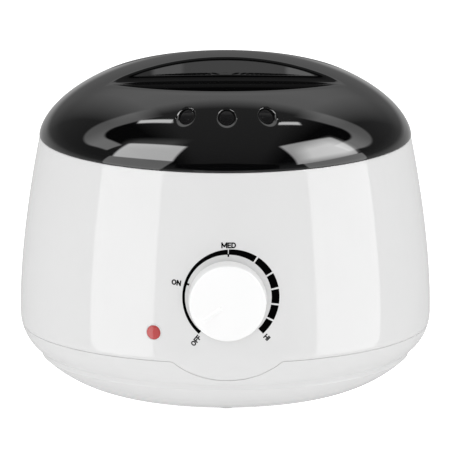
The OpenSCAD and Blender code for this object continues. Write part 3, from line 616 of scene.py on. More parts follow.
@dataclass(frozen=True)
class Finish:
    """One finish of the record, as a shader.

    Its two tones, gloss range and the sizes of its texture are given to the shared group of its kind, and
    what is the same all over is set on the shader itself.
    """

    slot: str
    texture: Texture
    light: Colour
    dark: Colour
    smooth: float
    rough: float
    coarse: float
    fine: float
    bump: float = 0.05
    metallic: float = 0.0
    ior: float = 1.5
    transmission: float = 0.0
    dust: float = 0.0
    # painted glow: strength of an emission painted on inward faces, 0 for none
    painted_glow: float = 0.0

    def surface(self) -> Tree:
        """The shared group of the finish's texture, made once."""
        return bpy.data.node_groups.get(self.texture.value + "_surface") or BUILDERS[self.texture]()

    def material(self) -> bpy.types.Material:
        """The finish's material, made once.

        Returns:
            The material, named after the record's slot.
        """
        name = "finish_" + self.slot
        found = bpy.data.materials.get(name)
        if found:
            return found
        made = bpy.data.materials.new(name)
        made.use_nodes = True
        tree = made.node_tree
        shader = tree.nodes["Principled BSDF"]
        values = {"Light": (*self.light, 1), "Dark": (*self.dark, 1)}
        values.update(zip(("Smooth", "Rough", *SIZES[self.texture]),
                          (self.smooth, self.rough, self.coarse, self.fine)))
        if self.texture is Texture.MOULDED:
            values["Dust"] = self.dust
        group = node(tree, "ShaderNodeGroup", {"node_tree": self.surface()}, values).outputs
        bump = node(tree, "ShaderNodeBump", None, {"Strength": self.bump, "Distance": 0.2 * MM,
                                                   "Height": group["Height"]})
        for label, socket in (("Base Color", group["Colour"]), ("Roughness", group["Roughness"]),
                              ("Normal", bump.outputs["Normal"])):
            tree.links.new(socket, shader.inputs[label])
        shader.inputs["Metallic"].default_value = self.metallic
        shader.inputs["IOR"].default_value = self.ior
        shader.inputs["Transmission Weight"].default_value = self.transmission
        # painted glow, standing in for light that passes a smoked wall
        if self.painted_glow:
            self.add_painted_glow(tree, shader)
        return made

    def add_painted_glow(self, tree: Tree, shader: bpy.types.Node) -> None:
        """Paints a faint glow on faces that look inwards: an emission that stands in for the little light
        that passes a smoked wall.

        A face looks inwards where its normal points against its place, seen from the dome's middle.

        Args:
            tree: the material's tree.
            shader: its shader.
        """
        middle = (0.0, 0.0, 0.1)
        place = vectors(tree, "SUBTRACT", node(tree, "ShaderNodeTexCoord").outputs["Object"], middle)[0]
        normal = node(tree, "ShaderNodeNewGeometry").outputs["Normal"]
        facing = vectors(tree, "DOT_PRODUCT", place, normal)["Value"]
        inwards = mapped(tree, facing, 0.0, 1.0, 0.0, -0.01)
        # painted glow: a noisy grey emission on faces that look inwards only
        glow_level = mapped(tree, noise(tree, place, 700.0, 2.0), 0.4 * self.painted_glow, 1.6 * self.painted_glow, 0.3, 0.7)
        shader.inputs["Emission Strength"].default_value = 1.0
        tree.links.new(maths(tree, "MULTIPLY", inwards, glow_level), shader.inputs["Emission Color"])

    def dress(self, piece: Piece) -> None:
        """Puts the finish on a piece in place of whatever it had."""
        piece.data.materials.clear()
        piece.data.materials.append(self.material())


def plastic(slot: str, light: float, dark: float, smooth: float, rough: float, **more: float) -> Finish:
    """A neutral moulded finish from two grey levels."""
    return Finish(slot, Texture.MOULDED, (light,) * 3, (dark,) * 3, smooth, rough, 26.0, 2400.0, **more)


def metal(slot: str, texture: Texture, light: Colour, dark: Colour, smooth: float, rough: float,
          coarse: float = 45.0, fine: float = 2200.0, bump: float = 0.12) -> Finish:
    """A metal finish."""
    return Finish(slot, texture, light, dark, smooth, rough, coarse, fine, bump, metallic=1.0)


def sleeve(slot: str, light: Colour) -> Finish:
    """A braided sleeve of one colour."""
    dark = tuple(0.55 * c for c in light)
    return Finish(slot, Texture.SLEEVED, light, dark, 0.55, 0.85, 900.0, 1800.0, 0.4)


def tinted(slot: str, light: Colour, dark: Colour, smooth: float, rough: float, **more: float) -> Finish:
    """A moulded finish from two colours."""
    return Finish(slot, Texture.MOULDED, light, dark, smooth, rough, 60.0, 2400.0, **more)


FINISHES: Dict[str, Finish] = {f.slot: f for f in (
    plastic("white_shell", 0.74, 0.73, 0.02, 0.045, bump=0.006, dust=0.004),
    plastic("knob_white", 0.92, 0.91, 0.28, 0.36, bump=0.02),
    # the smoked lid gets a painted glow on its inward faces
    Finish("smoke_lid", Texture.MOULDED, (0.0024, 0.0024, 0.0026), (0.0016, 0.0016, 0.0017), 0.02, 0.04,
           22.0, 2400.0, bump=0.004, ior=1.58, painted_glow=0.03),
    plastic("foot_rubber", 0.05, 0.03, 0.6, 0.85, bump=0.2),
    plastic("gland_black", 0.03, 0.02, 0.35, 0.5, bump=0.1),
    metal("aluminium", Texture.SPUN, (0.78, 0.78, 0.79), (0.70, 0.70, 0.715), 0.2, 0.4),
    metal("steel", Texture.PLATED, (0.66, 0.66, 0.67), (0.55, 0.55, 0.57), 0.22, 0.4, 220.0, 900.0),
    metal("bail_steel", Texture.PLATED, (0.77, 0.77, 0.78), (0.72, 0.72, 0.73), 0.06, 0.16, 60.0, 1400.0,
          0.05),
    metal("brass", Texture.PLATED, (0.78, 0.6, 0.28), (0.66, 0.48, 0.2), 0.2, 0.4, 300.0, 900.0),
    tinted("mica", (0.62, 0.47, 0.3), (0.5, 0.36, 0.22), 0.4, 0.6, bump=0.2),
    tinted("ceramic", (0.88, 0.86, 0.8), (0.82, 0.8, 0.73), 0.5, 0.7, bump=0.15),
    tinted("silicone", (0.5, 0.09, 0.06), (0.42, 0.07, 0.05), 0.4, 0.6, bump=0.1),
    tinted("phenolic", (0.07, 0.06, 0.06), (0.05, 0.045, 0.045), 0.35, 0.5, bump=0.1),
    tinted("nylon", (0.82, 0.81, 0.74), (0.76, 0.74, 0.66), 0.35, 0.5, bump=0.1),
    tinted("lens_red", (0.5, 0.075, 0.075), (0.45, 0.06, 0.06), 0.05, 0.1),
    Finish("lamp_glass", Texture.MOULDED, (0.95, 0.85, 0.78), (0.9, 0.78, 0.7), 0.02, 0.05, 60.0, 900.0, 0.02,
           transmission=0.8),
    sleeve("sleeve_brown", (0.3, 0.15, 0.08)),
    sleeve("sleeve_tan", (0.6, 0.48, 0.3)),
    sleeve("sleeve_white", (0.8, 0.8, 0.77)),
    sleeve("sleeve_green", (0.25, 0.5, 0.1)),
    plastic("print_black", 0.0012, 0.0008, 0.5, 0.6, bump=0.05, ior=1.05),
)}


def settle(piece: Piece, body: str, finish: str, *nodes: str, slot: Optional[str] = None) -> Piece:
    """Finishes a piece, hangs it on its body and hides the solids that it stands for.

    Args:
        piece: the piece, in place.
        body: the body that it moves with.
        finish: the name of its finish.
        nodes: the solids that it replaces.
        slot: the record's slot, where the finish isn't named after one; not used.
    Returns:
        The piece.
    """
    FINISHES[finish].dress(piece)
    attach(piece, body)
    if nodes:
        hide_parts(*nodes)
    return piece


@dataclass(frozen=True)
class Outline:
    """The body's outline: a bowl, a small step, a round shoulder and sides that lean in towards the lid.

    It also holds the places on the front that more than one piece follows: the knob's axis and the lamp.
    """

    belly_r: float = 89.0
    belly_z: float = 38.5
    rim_r: float = 80.6
    rim_z: float = 110.0
    taper: float = 1.65
    shoulder: float = 20.0
    shoulder_z: float = 33.0
    step_z: float = 14.2
    step_top: float = 16.5
    step_in: float = 0.7
    sole_r: float = 49.3
    bowl: float = 55.8
    knob_z: float = 56.4
    lamp_angle: float = math.radians(-20.9)
    lamp_z: float = 40.6
    tongue: float = 37.0
    tongue_fillet: float = 3.0
    seam_z: float = 28.0
    seam_gap: float = 0.14

    def bowl_centre(self) -> Array:
        """Centre of the bowl's arc: the point at the arc's radius from both of its ends, on the upper side.

        Returns:
            Its distance from the axis and its height.
        """
        p = np.array([self.sole_r, 0.0])
        q = np.array([self.at(self.step_top) - self.step_in, self.step_z])
        d = q - p
        h = math.sqrt(self.bowl ** 2 - float(d @ d) / 4)
        return (p + q) / 2 + h * np.array([-d[1], d[0]]) / np.linalg.norm(d)

    def radius(self, z: Array) -> Array:
        """Radius above the step: a circle's arc up to the shoulder, then
        belly - (belly - rim) * ((z - belly_z) / (rim_z - belly_z)) ** taper.

        Args:
            z: the heights.
        Returns:
            The radii.
        """
        up = np.clip((z - self.belly_z) / (self.rim_z - self.belly_z), 0, None)
        side = self.belly_r - (self.belly_r - self.rim_r) * up ** self.taper
        drop = np.clip(self.shoulder_z - z, 0, self.shoulder)
        return side - self.shoulder + np.sqrt(self.shoulder ** 2 - drop ** 2)

    def at(self, z: float) -> float:
        """Radius at one height."""
        return float(self.radius(np.array(z)))

    def seam(self, x: Array, gap: float) -> Array:
        """Height of the joint in front: level, with a round tongue about the knob's axis and small fillets.

        Args:
            x: distance from the middle, seen from the front.
            gap: how far below the housing's edge the line lies.
        Returns:
            The heights.
        """
        r, f, z = self.tongue + gap, self.tongue_fillet - gap, self.seam_z - gap
        end = math.sqrt((r + f) ** 2 - (self.knob_z - z + f) ** 2)
        touch = end * r / (r + f)
        x = np.abs(x)
        low = self.knob_z - np.sqrt(np.clip(r ** 2 - x ** 2, 0, None))
        side = z - f + np.sqrt(np.clip(f ** 2 - (x - end) ** 2, 0, None))
        return np.where(x < touch, low, np.where(x < end, side, z))

    def seam_round(self, angle: Array, gap: float) -> Array:
        """The joint's height round the body, found by stepping x = radius * sin(angle).

        Args:
            angle: angles round the body, 0 in front.
            gap: as in seam.
        Returns:
            The heights.
        """
        z = np.full_like(angle, self.seam_z - gap)
        front = np.abs(np.angle(np.exp(1j * angle))) < math.pi / 2
        for _ in range(8):
            z = np.where(front, self.seam(self.radius(z) * np.sin(angle), gap), self.seam_z - gap)
        return z


@dataclass
class Tub:
    """The white housing and its base."""

    outline: Outline = Outline()
    wall: float = 2.5
    deck_z: float = 103.0
    collar_in: float = 70.6
    collar_t: float = 2.0
    collar_low: float = 95.0
    edge: float = 0.5
    hem: float = 0.12
    tuck: float = 0.2
    fold: float = 2.0
    lip_top: float = 31.0
    lip_in: float = 2.8
    lip_t: float = 1.6
    columns: int = 512
    crowd: float = 0.45
    cord_z: float = 43.0
    cord_hole: float = 5.5
    lamp_hole: float = 3.2
    spindle_hole: float = 4.45
    peg_ends: Point = (70.0, 95.0)
    post_turns: Tuple[float, ...] = (45, 135, 225, 315)
    post_ring: float = 38.0
    post_r: float = 5.0
    post_ends: Point = (2.0, 33.98)
    well_r: float = 3.5
    well_top: float = 26.0
    shank_r: float = 1.65
    shank_top: float = 40.0
    foot_turns: Tuple[float, ...] = (0, 90, 180, 270)
    foot_ring: float = 41.0
    foot_r: float = 6.1
    foot_deep: float = 1.5
    slot_ring: float = 26.0
    slot_half: float = 4.0
    slot_r: float = 1.1
    slot_count: int = 16
    slot_clear: float = 0.9
    rows_out: int = 64
    rows_in: int = 18
    rows_skin: int = 26
    rows_bowl: Tuple[int, int] = (40, 14)
    step_line: Tuple[Point, ...] = ((0.03, 0.3), (0.2, 0.9), (0.45, 1.6))
    brow_line: Tuple[Point, ...] = ((0.03, 0.09), (0.16, 0.0), (2.9, 0.0))
    lip_drop: Tuple[float, ...] = (30.0, 26.0, 22.0, 18.5)

    def build(self) -> List[Piece]:
        """Both shells, dressed."""
        return [settle(self.housing(), "warmer", "white_shell", "housing"),
                settle(self.base(), "warmer", "white_shell", "base")]

    def angles(self) -> Array:
        """Angles round the body from the front, closer together there: a = t - crowd * sin(t)."""
        t = 2 * math.pi * np.arange(self.columns) / self.columns
        return t - self.crowd * np.sin(t)

    def place(self, r: Array, z: Array) -> Array:
        """Points at radius r and height z, at the angles a from the front: x = r sin a, y = -r cos a."""
        a = self.angles()
        return np.stack(np.broadcast_arrays(r * np.sin(a), -r * np.cos(a), z), -1)

    @staticmethod
    def shares(rows: int) -> Array:
        """Shares from 0 to 1, one a row."""
        return np.linspace(0, 1, rows)[:, None]

    def carried(self, section: Sequence[Point]) -> Array:
        """A section of (radius, height) carried round the body."""
        section = np.asarray(section, float)
        return self.place(section[:, :1], section[:, 1:])

    def housing(self) -> Piece:
        """The upper shell, one closed section carried round the body.

        Its lower edge follows the joint, its outside the outline, its rim is rounded, and inside lie the deck
        and the collar that hangs from it. Rows between lower edge and rim are spread evenly in height.

        Returns:
            The piece, with its holes cut.
        """
        o, rim, under_deck = self.outline, self.outline.rim_z, self.deck_z - self.wall
        low = o.seam_round(self.angles(), 0.0)
        z_out = low + self.hem + (rim - self.edge - low - self.hem) * self.shares(self.rows_out)
        top, inner = o.at(rim), o.at(self.deck_z) - self.wall
        collar_out = self.collar_in + self.collar_t
        shelf = rounded([(top, rim - self.edge), (top, rim), (top - self.wall, rim), (inner, self.deck_z),
                         (self.collar_in, self.deck_z), (self.collar_in, self.collar_low),
                         (collar_out, self.collar_low), (collar_out, under_deck),
                         (inner - self.tuck, under_deck)],
                        [0, self.edge, self.edge, 0.8, 0.5, 0.4, 0.4, 0.8, 0])[1:]
        high = under_deck - self.fold
        back = np.linspace(high, 0, self.rows_in)[:, None]
        z_in = np.where(back > 0, low + self.tuck + (high - low - self.tuck) * back / high, low)
        grid = np.concatenate([
            self.place(o.radius(z_out), z_out), self.carried(dense(shelf, 3.0)),
            self.place(o.radius(z_in) - self.wall, z_in),
            self.place(o.radius(low)[None] - self.hem, low[None])])
        piece = lathe("housing_shell", grid, ring=True)
        for radius, angle, z in ((self.cord_hole, math.pi, self.cord_z),
                                 (self.lamp_hole, o.lamp_angle, o.lamp_z),
                                 (self.spindle_hole, 0.0, o.knob_z)):
            cut(piece, lathe("peg", outwards(bar(radius, *self.peg_ends), angle, z, 96)))
        return crease(piece, 40.0)

    def base(self) -> Piece:
        """The lower shell: sole, bowl, step and shoulder outside, and the lip that stands inside the housing.

        The skin's upper edge follows the joint a gap below the housing. The lip behind it is level.

        Returns:
            The piece, with its posts, and with its feet's sockets, screw wells and air slots cut.
        """
        o, lip_z = self.outline, self.lip_top
        centre = o.bowl_centre()
        step_r = o.at(o.step_top) - o.step_in
        first = math.atan2(o.sole_r - centre[0], centre[1])
        last = math.atan2(step_r - centre[0], centre[1] - o.step_z)
        bowl = arc(centre, o.bowl, np.linspace(first, last, self.rows_bowl[0]))
        sole = dense(np.array([(1.0, 0.0), (o.sole_r - 0.4, 0.0)]), 4.0)
        step = [(step_r + out, o.step_z + up) for out, up in self.step_line]
        step.append((step_r + o.step_in - 0.05, o.step_top - 0.15))
        edge = o.seam_round(self.angles(), o.seam_gap)
        z_out = o.step_top + (edge - 0.25 - o.step_top) * self.shares(self.rows_skin)
        brow = [self.place(o.radius(edge)[None] - inset, (edge - drop)[None])
                for inset, drop in self.brow_line]
        lip_r, lip_in = o.at(lip_z) - self.lip_in, self.lip_in + self.lip_t
        lip = [(lip_r, lip_z - 0.3), (lip_r - 0.3, lip_z), (o.at(lip_z) - lip_in, lip_z)]
        drop = [(o.at(z) - lip_in, z) for z in self.lip_drop]
        inner = arc(centre, o.bowl - self.wall, np.linspace(last, first, self.rows_bowl[1]))
        outside = self.carried(np.concatenate([sole, bowl[1:], step]))
        inside = self.carried(np.concatenate([drop, inner, [(30.0, self.wall), (1.0, self.wall)]]))
        grid = np.concatenate([outside, self.place(o.radius(z_out), z_out), *brow, self.carried(lip), inside])
        piece = lathe("base_shell", capped(grid, (0, 0, 0), (0, 0, self.wall)))
        posts = self.stack("posts", bar(self.post_r, *self.post_ends), self.post_ring, self.post_turns)
        cut(piece, posts, "UNION")
        cut(piece, self.sockets())
        cut(piece, self.slots())
        return crease(piece, 40.0)

    def stack(self, name: str, profile: Array, ring: float, turns: Sequence[float]) -> Piece:
        """Round bars that stand on a circle, as one object.

        Args:
            name: the object's name.
            profile: the bar's section as (radius, height), from pole to pole.
            ring: the circle's radius.
            turns: the bars' angles in degrees.
        Returns:
            The object.
        """
        one = around(profile, 48)
        feet = [(ring * math.cos(t), ring * math.sin(t), 0) for t in np.radians(turns)]
        return joined([lathe(name, along(one, foot, (0, 0, 1), (0, 1, 0))) for foot in feet])

    def sockets(self) -> Piece:
        """The screw wells, with their shanks' holes, and the feet's sockets.

        Returns:
            The tool that cuts them.
        """
        well = np.array([(0, -1), (self.well_r, -1), (self.well_r, self.well_top),
                         (self.shank_r, self.well_top), (self.shank_r, self.shank_top), (0, self.shank_top)])
        foot = bar(self.foot_r, -1, self.foot_deep)
        wells = self.stack("wells", well, self.post_ring, self.post_turns)
        feet = self.stack("feet_sockets", foot, self.foot_ring, self.foot_turns)
        return joined([wells, feet])

    def slots(self) -> Piece:
        """The air slots in the sole: short slots with round ends, on a circle, and none at the posts.

        Returns:
            The tool that cuts them.
        """
        half = arc((self.slot_half, 0.0), self.slot_r, np.linspace(0, math.pi, 13))
        outline = np.concatenate([half, -half])
        x, y = self.slot_ring + outline[:, 0], outline[:, 1]
        made = []
        for turn in np.radians((np.arange(self.slot_count) + 0.5) * 360 / self.slot_count):
            if abs(math.sin(2 * turn)) >= self.slot_clear:
                continue
            c, s = math.cos(turn), math.sin(turn)
            rows = np.stack([np.stack([c * x - s * y, s * x + c * y, np.full(len(x), z)], -1)
                             for z in (-1.0, self.wall + 1)])
            made.append(lathe("slot", capped(rows, rows[0].mean(0), rows[1].mean(0))))
        return joined(made)


@dataclass
class Lid:
    """The domed lid with its sunk grip bar and three vents."""

    rim_z: float = 110.0
    seat: float = 0.2
    radius: float = 80.8
    height: float = 36.5
    power: float = 1.68
    wall: float = 2.5
    grip: float = 18.0
    depth: float = 11.0
    curve: float = 211.0
    rise: float = math.radians(5.0)
    fillet: float = 3.0
    soften: float = 1.5
    locator: Point = (75.6, 77.6)
    locator_low: float = 105.0
    eye: float = 118.0
    columns: int = 528
    rows_out: int = 118
    rows_in: int = 34
    samples: int = 900
    bend_share: float = 26.0
    vent_h: float = 20.5
    vent_r: float = 3.0
    vent_mouth: float = 4.7
    vent_lift: float = 0.6
    vent_reach: float = 12.0
    vent_end: float = 14.0
    roll_depth: float = 2.1
    roll_over: float = 0.06
    vent_tilt: float = math.radians(15.0)
    vent_pitch: float = math.radians(16.3)
    bar_ends: Tuple[float, ...] = (19, 161, 199, 341)
    crowd: float = 3.0
    bell: float = math.radians(6.5)
    far: float = 100.0

    def build(self) -> List[Piece]:
        """The lid, dressed."""
        return [settle(self.dome(), "lid", "smoke_lid", "lid")]

    def angles(self) -> Array:
        """Angles round the lid, crowded where the grip bar's ends meet the dome.

        They are evenly spaced in the running sum of 1 + crowd * bump(a), bump being a bell round each end.

        Returns:
            The angles, from +X.
        """
        fine = np.linspace(0, 2 * math.pi, 20001)
        off = np.angle(np.exp(1j * (fine[:, None] - np.radians(self.bar_ends))))
        weight = 1 + self.crowd * np.exp(-(off / self.bell) ** 2).sum(1)
        total = np.concatenate([[0], np.cumsum((weight[1:] + weight[:-1]) / 2)])
        return np.interp(np.arange(self.columns) / self.columns, total / total[-1], fine)

    def solid(self, p: Array, inset: float) -> Array:
        """How far a point lies outside the lid's form: negative within it.

        The dome is (rho / r) ** 2 + ((z - rim) / h) ** power = 1, its excess divided by its slope to make
        millimetres. Each scoop is a round dish, its lower edge rounded, that leans with its floor. The form
        is the dome less both dishes, and where two of them meet, the larger of their distances is rounded.

        Args:
            p: points, the last axis x, y, z.
            inset: how far the form is taken inwards, 0 for the outside.
        Returns:
            The distances.
        """
        r, h = self.radius - inset, self.height - inset
        rho = np.hypot(p[..., 0], p[..., 1])
        up = np.clip(p[..., 2] - self.rim_z, 1e-9, None)
        excess = (rho / r) ** 2 + (up / h) ** self.power - 1
        slope = np.hypot(2 * rho / r ** 2, self.power * up ** (self.power - 1) / h ** self.power)
        form = excess / np.maximum(slope, 1e-4)
        for side in (1, -1):
            form = self.round_max(form, -self.dish(p, side, inset), self.soften)
        return form

    def dish(self, p: Array, side: int, grown: float) -> Array:
        """Distance outside a scoop, a cylinder of the scoop's curve with a filleted floor.

        Args:
            p: points, the last axis x, y, z.
            side: 1 for the front scoop, -1 for the rear one.
            grown: how far the scoop is taken outwards.
        Returns:
            The distances.
        """
        y = side * p[..., 1] + self.grip / 2
        z = p[..., 2] - (self.rim_z + self.height - self.depth)
        c, s = math.cos(self.rise), math.sin(self.rise)
        y, z = y * c - z * s, y * s + z * c
        radial = np.hypot(p[..., 0], y + self.curve) - (self.curve - self.fillet)
        deep = self.fillet - z
        return (np.hypot(np.clip(radial, 0, None), np.clip(deep, 0, None)) - self.fillet - grown
                + np.minimum(np.maximum(radial, deep), 0))

    @staticmethod
    def round_max(a: Array, b: Array, size: float) -> Array:
        """The larger of two distances, with the crease rounded: + max(size - |a - b|, 0) ** 2 / (4 size)."""
        return np.maximum(a, b) + np.clip(size - np.abs(a - b), 0, None) ** 2 / (4 * size)

    def crossing(self, line: Callable[[Array], Array], near: Array, far: Array, inset: float,
                 steps: int) -> Array:
        """Where lines leave the form, found by halving the interval in which the distance changes sign.

        Args:
            line: gives the points at distances along the lines.
            near: distances that lie within the form.
            far: distances that lie outside it.
            inset: as in solid.
            steps: how often the interval is halved.
        Returns:
            The distances along the lines.
        """
        for _ in range(steps):
            middle = (near + far) / 2
            out = self.solid(line(middle), inset) > 0
            near, far = np.where(out, near, middle), np.where(out, middle, far)
        return (near + far) / 2

    def cast(self, tilt: Array, angle: Array, inset: float) -> Array:
        """Where rays from a point on the axis leave the form.

        Args:
            tilt: the rays' angles from straight up.
            angle: the rays' angles round the axis.
            inset: as in solid.
        Returns:
            The points.
        """
        way = np.stack(np.broadcast_arrays(np.sin(tilt) * np.cos(angle), np.sin(tilt) * np.sin(angle),
                                           np.cos(tilt)), -1)
        eye = np.array([0, 0, self.eye])
        near, far = np.zeros(way.shape[:-1]), np.full(way.shape[:-1], self.far)
        return eye + self.crossing(lambda t: eye + t[..., None] * way, near, far, inset, 30)[..., None] * way

    def shell(self, rows: int, stop: float, inset: float) -> Array:
        """A grid over the form from the top to a height, with rows crowded where it bends.

        Along each column the running sum of the distance and of a share of the turning is split evenly. The
        turning is first blurred along and across the columns.

        Args:
            rows: number of rows after the pole.
            stop: the radius at which the last row ends.
            inset: as in solid.
        Returns:
            Points shaped (rows + 1, columns, 3), the first row the pole.
        """
        angle = self.angles()
        r, h = self.radius - inset, self.height - inset
        end_z = self.rim_z + h * (1 - (stop / r) ** 2) ** (1 / self.power)
        last = math.atan2(stop, end_z - self.eye)
        tilt = np.linspace(0.0, last, self.samples)[:, None] + 0 * angle
        step = np.diff(self.cast(tilt, angle, inset), axis=0)
        length = np.linalg.norm(step, axis=-1)
        way = step / np.maximum(length, 1e-9)[..., None]
        turn = np.linalg.norm(np.diff(way, axis=0), axis=-1)
        turn = np.concatenate([turn[:1], turn])
        kernel = np.exp(-np.linspace(-2, 2, 25) ** 2)
        kernel /= kernel.sum()
        turn = sum(k * np.roll(turn, shift, 0) for k, shift in zip(kernel, range(-12, 13)))
        turn = sum(k * np.roll(turn, shift, 1) for k, shift in zip((0.25, 0.5, 0.25), (-1, 0, 1)))
        total = np.concatenate([np.zeros((1, len(angle))), np.cumsum(length + self.bend_share * turn, 0)])
        total /= total[-1]
        want = np.arange(1, rows + 1)[:, None] / rows + 0 * angle
        lane = 2.0 * np.arange(len(angle))
        picked = np.interp((want + lane).T.ravel(), (total + lane).T.ravel(), tilt.T.ravel())
        picked = picked.reshape(len(angle), rows).T
        picked[-1] = last
        pole = self.cast(np.zeros((1, 1)), np.zeros(1), inset)
        return np.concatenate([np.broadcast_to(pole, (1, len(angle), 3)), self.cast(picked, angle, inset)])

    def dome(self) -> Piece:
        """The lid: its outside, its rim with the locating ring, and its inside, with the vents cut.

        Returns:
            The piece.
        """
        low = self.rim_z + self.seat
        outside = self.shell(self.rows_out, self.radius - 0.12, 0.0)
        inside = self.shell(self.rows_in, self.locator[0], self.wall)
        edge = outside[-1, 0]
        r0, r1 = self.locator
        rim = rounded([(math.hypot(edge[0], edge[1]), edge[2]), (self.radius, low), (r1, low),
                       (r1, self.locator_low), (r0, self.locator_low), (r0, inside[-1, 0][2])],
                      [0, 0.3, 0.4, 0.5, 0.5, 0], steps=4)[1:-1]
        rim = dense(rim, 2.5)
        angle = self.angles()
        r, z = rim[:, :1], rim[:, 1:]
        ring = np.stack(np.broadcast_arrays(r * np.cos(angle), r * np.sin(angle), z), -1)
        piece = lathe("dome_lid", np.concatenate([outside, ring, inside[::-1]]))
        for i in (-1, 0, 1):
            cut(piece, self.vent(i * self.vent_pitch))
        return crease(piece, 38.0)

    def vent(self, turn: float) -> Piece:
        """A tool for one vent: a round bore, tilted upwards, whose edge rolls over into the dome.

        At radius r and angle a round the bore, the roll lies under the dome's own surface by
        roll_depth * (1 - u) ** 2 with u = (r - bore) / (mouth - bore), so it follows the slope all the way
        round. The bore lies higher than the mouth by the lift.

        Args:
            turn: the vent's angle from the front.
        Returns:
            The tool.
        """
        out = self.radius * math.sqrt(1 - (self.vent_h / self.height) ** self.power)
        level, rise = math.cos(self.vent_tilt), math.sin(self.vent_tilt)
        way = np.array([math.sin(turn) * level, -math.cos(turn) * level, rise])
        centre = np.array([out * math.sin(turn), -out * math.cos(turn), self.rim_z + self.vent_h])
        u = np.linspace(0, 1, 12)[:, None]
        a = 2 * math.pi * np.arange(96) / 96
        r = self.vent_r + (self.vent_mouth - self.vent_r) * u
        flat = np.stack(np.broadcast_arrays(r * np.cos(a), r * np.sin(a) + self.vent_lift * (1 - u)), -1)
        near = np.full(flat.shape[:2], -self.vent_reach)
        skin = self.crossing(lambda t: along(np.concatenate([flat, t[..., None]], -1), centre, way),
                             near, -near, 0.0, 26)
        skin = skin - self.roll_depth * (1 - u) ** 2 + self.roll_over
        rows = np.concatenate([flat, skin[..., None]], -1)
        back, front = rows[:1].copy(), rows[-1:].copy()
        back[..., 2] = -self.vent_end
        front[..., 2] = self.vent_end
        grid = capped(np.concatenate([back, rows, front]), (0, 0, -self.vent_end), (0, 0, self.vent_end))
        return lathe("vent", along(grid, centre, way))


RIGHT_HALF = np.radians(np.linspace(86, -86, 25))
FULL_TURN = np.radians(np.linspace(0, 360, 25))
LETTERS: Dict[str, Tuple[float, tuple]] = {
    "M": (0.8, (((0, 0), (0, 1)), ((0, 1), (0.5, 0.2)), ((0.5, 0.2), (1, 1)), ((1, 1), (1, 0)))),
    "E": (0.44, (((0, 0), (0, 1)), ((0, 1), (1, 1)), ((0, 0.52), (0.9, 0.52)), ((0, 0), (1, 0)))),
    "D": (0.6, (((0, 0), (0, 1)),
                ((0, 1), (0.4, 1), *ellipse(0.4, 0.5, 0.6, 0.5, RIGHT_HALF), (0.4, 0), (0, 0)))),
    "O": (0.66, (ellipse(0.5, 0.5, 0.5, 0.5, FULL_TURN),)),
    "N": (0.56, (((0, 0), (0, 1)), ((0, 1), (1, 0)), ((1, 0), (1, 1)))),
    "F": (0.44, (((0, 0), (0, 1)), ((0, 1), (1, 1)), ((0, 0.5), (0.9, 0.5)))),
    "H": (0.58, (((0, 0), (0, 1)), ((1, 0), (1, 1)), ((0, 0.5), (1, 0.5)))),
    "I": (0.02, (((0.5, 0), (0.5, 1)),)),
}


